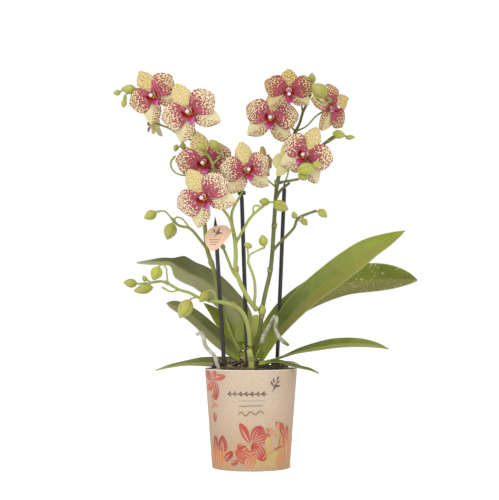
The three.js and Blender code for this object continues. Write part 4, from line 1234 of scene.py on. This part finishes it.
# across and up in millimetres, aim in degrees, length, width, hue (0 brown, 0.45 coral, 1 yellow), vein fan
frontPetals = [
    (3, 1, 95, 26, 15, 0.98, 0, 0.75), (13, 1, 80, 30, 9, 0.92, 0, 0.7), (22, 2, 80, 19, 15, 1.0, 0, 0.65),
    (35, 3, 96, 34, 12, 0.8, 0, 0.75), (32, 1, 90, 16, 13, 0.72, 0, 0.8),
    (-35, 2, 95, 26, 17, 0.72, 13, 1.0), (-44, 3, 90, 24, 12, 0.68, 9, 1.0),
    (-26, 3, 85, 19, 9, 0.8, 5, 0.85), (44, 3, 92, 38, 13, 0.7, 5, 0.85),
    (4, 1, 120, 20, 12, 0.86, 9, 0.85), (-1, 28, 118, 21, 8.5, 0.42, 5, 1.0),
    (2, 29, 60, 17, 15, 0.38, 15, 1.0), (3, 29, 20, 17, 12, 0.42, 13, 1.0),
    (-2, 19, 150, 13, 9, 0.44, 5, 1.0), (-4, 24, 200, 10, 8, 0.42, 5, 1.0),
    (4, 27, -60, 19, 13, 0.4, 15, 1.0), (7, 18, 200, 18, 11, 0.5, 9, 1.0),
    (3, 9, 150, 21, 13, 0.46, 13, 0.95), (-4, 3, 60, 14, 10, 0.66, 9, 0.85),
    (-38, 20, 108, 14, 9, 0.32, 5, 1.0), (-33, 19, 78, 15, 10, 0.32, 7, 1.0),
    (-28, 18, 95, 14, 7, 0.38, 3, 1.0), (-27, 9, 50, 13, 8, 0.36, 5, 1.0), (-21, 7, 20, 9, 5, 0.4, 3, 0.95),
    (27, 34, 152, 14, 4.2, 0.64, 3, 1.0), (27, 33, 137, 14, 3.2, 0.8, 3, 0.9),
    (31, 38, 118, 11, 6, 0.44, 3, 1.0), (29, 39, 100, 8, 5, 0.78, 3, 0.9),
    (38, 32, 114, 16, 8, 0.4, 7, 1.0), (43, 28, 94, 15, 6, 0.5, 5, 1.0),
    (16, 24, 82, 10, 5.5, 0.97, 3, 0.95), (-44, 88, 12, 18, 7, 0.48, 5, 1.0),
    (-43, 87, -78, 19, 13, 0.38, 11, 1.0), (-46, 88, 150, 14, 9, 0.38, 9, 1.0),
    (-44, 86, 215, 15, 8, 0.5, 7, 1.0), (-42, 89, 75, 8, 7, 0.5, 5, 1.0),
    (-47, 60, 45, 8, 3, 0.72, 3, 0.95), (-43, 64, -20, 6, 3, 0.64, 3, 0.95),
    (-42, 56, -85, 9, 5.5, 0.38, 3, 1.0), (-46, 72, 70, 8, 3, 0.96, 0, 0.7),
]
frontLines = [
    ([(11, 12), (17, 17), (25, 20), (32, 22)], 1.0, 0.86), ([(24, 20.5), (33, 23.5)], 1.8, 0.4),
    ([(30, 24), (30.5, 30), (32, 34)], 0.7, 0.16), ([(15, 23), (14, 16), (12, 12)], 0.7, 0.95),
    ([(36, 22), (36, 33)], 1.6, 0.6), ([(-45, 77), (-46, 66)], 0.8, 0.9),
]
sprigLeaves = [  # a leaf sprig in place of lettering
    (0, 0, 62, 9, 3.2), (2, 3.2, 10, 7.5, 2.7), (-0.6, 4.2, 118, 7.5, 2.7), (3.2, 7.2, 28, 7, 2.4),
    (0.8, 8.0, 100, 6.5, 2.3), (4.2, 10.5, 58, 6.5, 2.2),
]


def makePrint(finish, draw):
    art = Print()
    for across, height, aim, length, width, hue, fan, strength in frontPetals:
        soft = 0.55 if strength < 0.9 else 0.12
        bend = draw.uniform(-0.6, 0.6)
        art.leaf(across, height, aim, length, width, hue, fan, strength, bend, 0.62, soft, 16)
    for points, width, hue in frontLines:
        art.line(points, width, hue)
    for turn, hue in ((-75, 0.4), (-100, 0.34), (-50, 0.46)):  # the lip of the front flower
        art.leaf(1.5, 28, turn, 7.5, 3.4, hue, 0, 1, 0.8, 0.8)
    art.layer = 0
    for across, height, aim, length, width in sprigLeaves:  # sprig, vine band, dots, rule and a flourish
        art.leaf(across * 0.8 + 23, height * 0.8 + 79, aim, length * 0.8, width * 0.85, 0.06, 0, 1.0, 0.3,
                 0.9)
    art.line([(21, 76.5), (23, 80), (26, 85.5), (28, 90)], 0.6, 0.06)
    for i in range(7):
        x = -21.5 + 5.6 * i
        for turn in (72, 180, -72):
            art.leaf(x, 75, turn, 2.7, 1.7, 0.05, 0, 1, 0.2, 0.7)
        art.leaf(x + 1, 75, 0, 2.6, 1.0, 0.05, 0, 1, 0, 0.7)
    for i in range(11):
        art.leaf(-11.6 + 2.4 * i, 68.6, 0, 1.2, 1.1, 0.14, 0, 0.55, 0, 0.6)
    art.line([(-12, 63.2), (12, 63.8)], 0.6, 0.08, 0.9)
    wave = [(-12 + 0.5 * i, 55.4 + 0.04 * i + 2.1 * math.sin(0.34 * i) * (1 - 0.008 * i)) for i in range(50)]
    art.line(wave, 0.85, 0.06, 0.95)
    for number, across in enumerate((70, 96, 122, 148, -122, -96, -70)):  # the rest of the way round
        art.layer = 0
        art.bloom(across, draw.uniform(16, 30), draw.uniform(13, 17), draw.uniform(-40, 40),
                  draw.uniform(0.38, 0.5))
        art.leaf(across + 8, 2, 95 + draw.uniform(-12, 12), 26, 12, draw.uniform(0.8, 1), 0, 0.7, 0, 0.6, 0.5)
        if number % 2:
            art.bloom(across + 6, draw.uniform(66, 80), draw.uniform(9, 12), draw.uniform(0, 180), 0.46)
        for i in range(3):
            art.leaf(across - 12 + 4 * i, draw.uniform(44, 56), draw.uniform(20, 150), 7, 3, 0.9, 3, 0.9, 0.5)
    makePiece("sleeve_flower_print", art.shape, finish, "kraft_card", "pot_sleeve", sharp=30)


growPot = {"wall": 0.9, "gap": 0.6, "segments": 120}


def makeGrowPot(finish):
    low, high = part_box("grow_pot")
    top = high.z / mm
    outer = high.x / mm
    shape = Shape()
    wall = growPot["wall"]
    foot = low.z / mm
    lower = sleeveRadius(foot) - sleeve["wall"] - growPot["gap"]
    profile = [(lower - wall, foot + wall), (outer - wall, top - 0.5), (outer - 0.7, top), (outer - 0.1, top),
               (outer, top - 0.4), (outer, top - 3), (outer - 0.35, top - 3.2), (lower, foot + 0.4),
               (lower - 0.5, foot)]
    rings = [shape.hoop(radius, height, growPot["segments"]) for radius, height in profile]
    shape.loft(rings, shape.add((0, 0, foot + wall)), shape.add((0, 0, foot)))
    makePiece("grow_pot_shell", shape, finish, "pot_plastic", "grow_pot", sharp=40)


def plasticFinish(name, colour, roughness, streaks):
    finish = Finish(name, Roughness=roughness, Specular_IOR_Level=0.4)
    grain = finish.noise(finish.stretch(finish.position(), 1, 1, streaks), 1100, 3)
    cloud = finish.noise(finish.position(), 70, 2)
    pale = tuple(min(1, part * 1.9 + 0.01) for part in colour[:3]) + (1,)
    finish.feed("Base Color", finish.mix(finish.smooth(cloud, 0.3, 0.75) * 0.5, colour, pale))
    finish.feed("Roughness", roughness - 0.08 + grain * 0.2)
    finish.relief(grain, 0.00012, 0.5)
    return finish


def barkFinish():
    finish = Finish("barkChips", Roughness=0.92, Specular_IOR_Level=0.15)
    _, light, moss = finish.mark("map")
    place = finish.position()
    grain = finish.noise(place, 520, 6, 0.7)
    cloud = finish.noise(place, 130, 3)
    bright = finish.smooth(light + (cloud - 0.5) * 0.6, 0, 1)
    brown = finish.mix(bright, tint(78, 62, 48), tint(196, 174, 146))
    brown = finish.mix(finish.smooth(grain, 0.5, 0.7) * 0.5, brown, tint(186, 166, 136))
    brown = finish.mix(finish.smooth(grain, 0.42, 0.3) * 0.6, brown, tint(34, 25, 16))
    brown = finish.mix(moss, brown, finish.mix(cloud, tint(96, 98, 50), tint(176, 162, 116)))
    finish.feed("Base Color", brown)
    finish.relief(grain + cloud, 0.0008, 0.8)
    return finish


bark = {"chips": 420, "mossTufts": 34, "longest": 12, "rise": 9, "belowRim": 3.4, "depth": 1.4}


def makeBark(finish, draw):
    soilTop = soilHigh.z / mm
    edge = sleeveHeight - bark["belowRim"]
    reach = soilHigh.x / mm - 0.3
    shape = Shape()

    def surface(x, y):
        share = min(1, math.hypot(x, y) / reach)
        return edge + (soilTop - edge) * (1 - share ** 2) ** 0.8 + 0.9 * noise.noise(Vector((x, y, 3)) * 0.12)

    rings = []
    for i in range(1, 15):
        radius = reach * i / 14
        ring = []
        for j in range(72):
            angle = 2 * math.pi * j / 72
            x, y = radius * math.cos(angle), radius * math.sin(angle)
            height = surface(x, y) - bark["depth"] + 1.2 * noise.noise(Vector((x, y, 0)) * 0.5)
            ring.append(shape.add((x, y, height), (0, 0.15, 0)))
        rings.append(ring)
    for height in (70, 5):
        radius = sleeveRadius(height) - 3
        rings.append(shape.hoop(radius, height, 72, (0, 0.1, 0)))
    top = shape.add((0, 0, surface(0, 0) - bark["depth"]), (0, 0.1, 0))
    shape.loft(rings, top, shape.add((0, 0, 5), (0, 0.1, 0)))
    for i in range(bark["chips"]):
        angle = draw.uniform(0, 2 * math.pi)
        away = (reach - 2.5) * draw.uniform(0, 1) ** 0.5
        x, y = away * math.cos(angle), away * math.sin(angle)
        length = draw.uniform(5, bark["longest"])
        width = length * draw.uniform(0.45, 0.8)
        thick = draw.uniform(1.4, 3.4)
        if away + length / 2 > reach:
            length = max(3, 2 * (reach - away))
            width = min(width, length)
        turn = (Matrix.Rotation(draw.uniform(0, 6.3), 3, "Z")
                @ Matrix.Rotation(draw.uniform(-0.5, 0.5), 3, "X")
                @ Matrix.Rotation(draw.uniform(-0.4, 0.4), 3, "Y"))
        back = step(y - 0.4 * x, -18, 12)  # the bark stands higher behind and to the left
        middle = Vector((x, y, surface(x, y) - 1.2 + back * draw.uniform(0.4, bark["rise"])))
        # chips at the front are painted darker than those behind: painted shade under the rim, on top of each
        # chip's random tone
        light = draw.uniform(0.1, 1) * (0.35 + 0.65 * back)
        seed = Vector((draw.uniform(0, 50), draw.uniform(0, 50), 0))
        rings = []
        for k in range(1, 6):  # a chip is a flattened, broken lump
            t = k / 6
            wide = math.sin(math.pi * t) ** 0.35
            ring = []
            for j in range(9):
                a = 2 * math.pi * j / 9
                rough = 1 + 0.35 * noise.noise(seed + Vector((math.cos(a), math.sin(a), t * 2)))
                spot = Vector(((t - 0.5) * length, math.cos(a) * width / 2 * wide * rough,
                               math.sin(a) * thick / 2 * wide * rough))
                ring.append(shape.add(middle + turn @ spot, (0, light, 0)))
            rings.append(ring)
        shape.loft(rings, shape.add(middle + turn @ Vector((-0.47 * length, 0, 0)), (0, light, 0)),
                   shape.add(middle + turn @ Vector((0.47 * length, 0, 0)), (0, light, 0)))
    for i in range(bark["mossTufts"]):  # curled moss strands between the chips
        angle = draw.uniform(0, 2 * math.pi)
        away = (reach - 5) * draw.uniform(0.3, 1) ** 0.5
        x, y = away * math.cos(angle), away * math.sin(angle)
        for _ in range(6):
            way = draw.uniform(0, 6.3)
            height = surface(x, y) + 0.8
            route = [Vector((x, y, height)) - lift]
            for k in range(1, 4):
                way += draw.uniform(-1, 1)
                spot = route[-1] + Vector((math.cos(way) * 2.4, math.sin(way) * 2.4, draw.uniform(-0.4, 1.3)))
                if math.hypot(spot.x, spot.y) < reach - 0.6:
                    route.append(spot)
            if len(route) > 2:
                start = len(shape.points)
                addTube(shape, route, lambda share, travelled: 0.32 * (1.1 - share * 0.6), 5, 1.2)
                for index in range(start, len(shape.points)):
                    shape.marks["map"][index] = (0, 0.6, 1)
    makePiece("bark_and_moss", shape, finish, "bark", "bark_substrate", sharp=60)


kraftCard = kraftFinish()
makeSleeve(kraftCard)
makePrint(printFinish(), random.Random(11))
makeGrowPot(plasticFinish("growPotPlastic", tint(40, 38, 36), 0.5, 1))
makeBark(barkFinish(), random.Random(3))
print("pot made")


# stakes, clip and tag
stakes = {
    "stake_left": {"foot": (-22, -8, 25), "top": (-35.5, -22, 248)},
    "stake_middle": {"foot": (-1, -16, 25), "top": (-9.5, -13, 277)},
    "stake_right": {"foot": (23, 12, 25), "top": (34, 8, 287)},
}
stakeWidth = 4
pointLength = 12


def stakeEnds(name):
    return Vector(stakes[name]["foot"]), Vector(stakes[name]["top"]) + lift


def stakePoint(name, height):
    foot, top = stakeEnds(name)
    return foot.lerp(top, (height + lift.z - foot.z) / (top.z - foot.z))


def makeStake(name, finish):
    foot, top = stakeEnds(name)
    heading = (top - foot).normalized()
    side = heading.cross(Vector((0, 1, 0))).normalized()
    up = heading.cross(side)
    length = (top - foot).length
    half = stakeWidth / 2
    shape = Shape()
    rings = []
    stations = [(0.4, 0.8), (1.2, 1)] + [(length * i / 40, 1) for i in range(1, 38)]
    for short, wide in ((1, 1), (0.85, 0.97), (0.5, 0.62), (0.15, 0.25)):
        stations.append((length - pointLength * short, wide))
    stations.append((length - 0.5, 0.12))
    for ahead, wide in stations:
        ring = []
        for j in range(24):
            angle = 2 * math.pi * j / 24
            flute = 1 + 0.012 * math.cos(8 * angle) + 0.01 * noise.noise(Vector((ahead * 0.08, j * 0.3, 0)))
            ring.append(shape.add(foot + heading * ahead
                                  + (side * math.cos(angle) + up * math.sin(angle)) * half * wide * flute))
        rings.append(ring)
    shape.loft(rings, shape.add(foot), shape.add(top))
    makePiece(name + "_rod", shape, finish, "stake_plastic", name, sharp=40)


clip = {"at": 272, "inner": 2.6, "wall": 1.5, "opens": -1.2, "closes": 4.3, "steps": 44, "grip": 2.4}


def makeClip(finish):
    low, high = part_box("stake_clip")
    centre = stakePoint("stake_middle", clip["at"])
    wall = clip["wall"]
    last = clip["steps"]
    middle = clip["inner"] + wall / 2
    tall = (high.z - low.z) / mm
    shape = Shape()
    rings = []

    def wayAt(i):
        angle = math.pi + blendOf(clip["opens"], clip["closes"], i / last)
        return Vector((math.cos(angle), math.sin(angle), 0))

    for i in range(last + 1):
        end = 1 - 0.35 * (step(i, last - 4, last) + step(i, 4, 0))
        ring = []
        for j in range(12):  # a flat band with rounded edges
            a = 2 * math.pi * j / 12
            x = math.copysign(abs(math.cos(a)) ** 0.5, math.cos(a)) * wall / 2 * end
            z = math.copysign(abs(math.sin(a)) ** 0.5, math.sin(a)) * tall / 2 * end
            ring.append(shape.add(centre + wayAt(i) * (middle + x) + Vector((0, 0, z))))
        rings.append(ring)
    ends = [shape.add(sum((shape.points[i] for i in ring), Vector()) / 12) for ring in (rings[0], rings[-1])]
    shape.loft(rings, *ends)
    for i in (0, last):  # small grips at the ends
        addEgg(shape, centre + wayAt(i) * middle, (0, 0, 1), tall * 0.95, clip["grip"], 12, 8, 0, 0.5,
               (0, 0, 0), 1, True)
    makePiece("stake_clip_ring", shape, finish, "stake_plastic", "stake_clip")


tag = {"corners": [(12.5, 7), (8, 12), (0, 12.5), (-8, 9.5), (-13, 3), (-12.5, -5), (-8, -11.5), (-2, -11.5),
                   (5, -5), (10, 1)], "thick": 0.6, "rowsOfPrint": 3, "at": 226.5, "aside": 2, "gap": 0.6}


def cardFinish():
    finish = Finish("tagCard", Roughness=0.7, Specular_IOR_Level=0.3)
    ink = finish.mark("map")[0]
    fibre = finish.noise(finish.position(), 900, 4)
    cloud = finish.noise(finish.position(), 60, 2)
    card = finish.mix(finish.smooth(cloud, 0.3, 0.7), tint(255, 222, 188), tint(255, 212, 176))
    card = finish.mix(finish.smooth(fibre, 0.5, 0.75) * 0.3, card, tint(255, 234, 212))
    finish.feed("Base Color", finish.mix(ink, card, tint(110, 76, 62)))
    finish.relief(fibre, 0.0002, 0.4)
    return finish


def makeTag(finish):
    stake = stakePoint("stake_left", tag["at"])
    half = tag["thick"] / 2
    centre = Vector((stake.x + tag["aside"], stake.y - stakeWidth / 2 - tag["gap"] - half, stake.z))
    corners = [Vector((x, 0, z)) for x, z in tag["corners"]]
    outline = []
    for i in range(len(corners)):  # a smooth loop through the corners
        a, b, c, d = (corners[(i + k) % len(corners)] for k in (-1, 0, 1, 2))
        for j in range(6):
            t = j / 6
            outline.append(0.5 * (2 * b + (c - a) * t + (2 * a - 5 * b + 4 * c - d) * t ** 2
                                  + (3 * b - a - 3 * c + d) * t ** 3))
    shape = Shape()
    rings = []
    for depth, grow in ((-half, 0.985), (-half * 0.7, 1), (half * 0.7, 1), (half, 0.985)):
        rings.append([shape.add(centre + spot * grow + Vector((0, depth, 0))) for spot in outline])
    shape.loft(rings, shape.add(centre + Vector((0, -half, 0))), shape.add(centre + Vector((0, half, 0))))

    def mark(x, z, aim, length, width, point=0.8):  # printed leaves and rules on the card
        turn = math.radians(aim)

        def placeAt(u, v):
            side = v * width / 2 * max(0.08, math.sin(math.pi * (0.02 + 0.96 * u)) ** point)
            spot = Vector((x + math.cos(turn) * u * length - math.sin(turn) * side, -half - 0.03,
                           z + math.sin(turn) * u * length + math.cos(turn) * side))
            return centre + spot, Vector((0, -1, 0))
        addPlate(shape, 8, 4, placeAt, lambda u, v: 0.05, lambda u, v: ((0.85, 0, 0), (0, 0)))

    for x, z, aim, length, width in ((-2, 3, 60, 6, 2.2), (-1, 4.6, 8, 5, 1.8), (-3, 5, 112, 4.6, 1.7),
                                     (0.5, 7, 80, 3.6, 1.4)):
        mark(x, z, aim, length, width)
    mark(-3.5, 1.0, 68, 8, 0.5, 0.1)
    for row in range(tag["rowsOfPrint"]):
        mark(-9 + row * 0.6, -1.5 - row * 2.3, 0, 11 - row * 2.6, 0.6, 0.1)
    makePiece("label_tag_card", shape, finish, "tag_card", "label_tag", sharp=35)


stakePlastic = plasticFinish("stakePlastic", tint(40, 34, 34), 0.42, 0.05)
for name in stakes:
    makeStake(name, stakePlastic)
makeClip(plasticFinish("clipPlastic", tint(34, 32, 36), 0.35, 1))
makeTag(cardFinish())
print("stakes, clip and tag made")
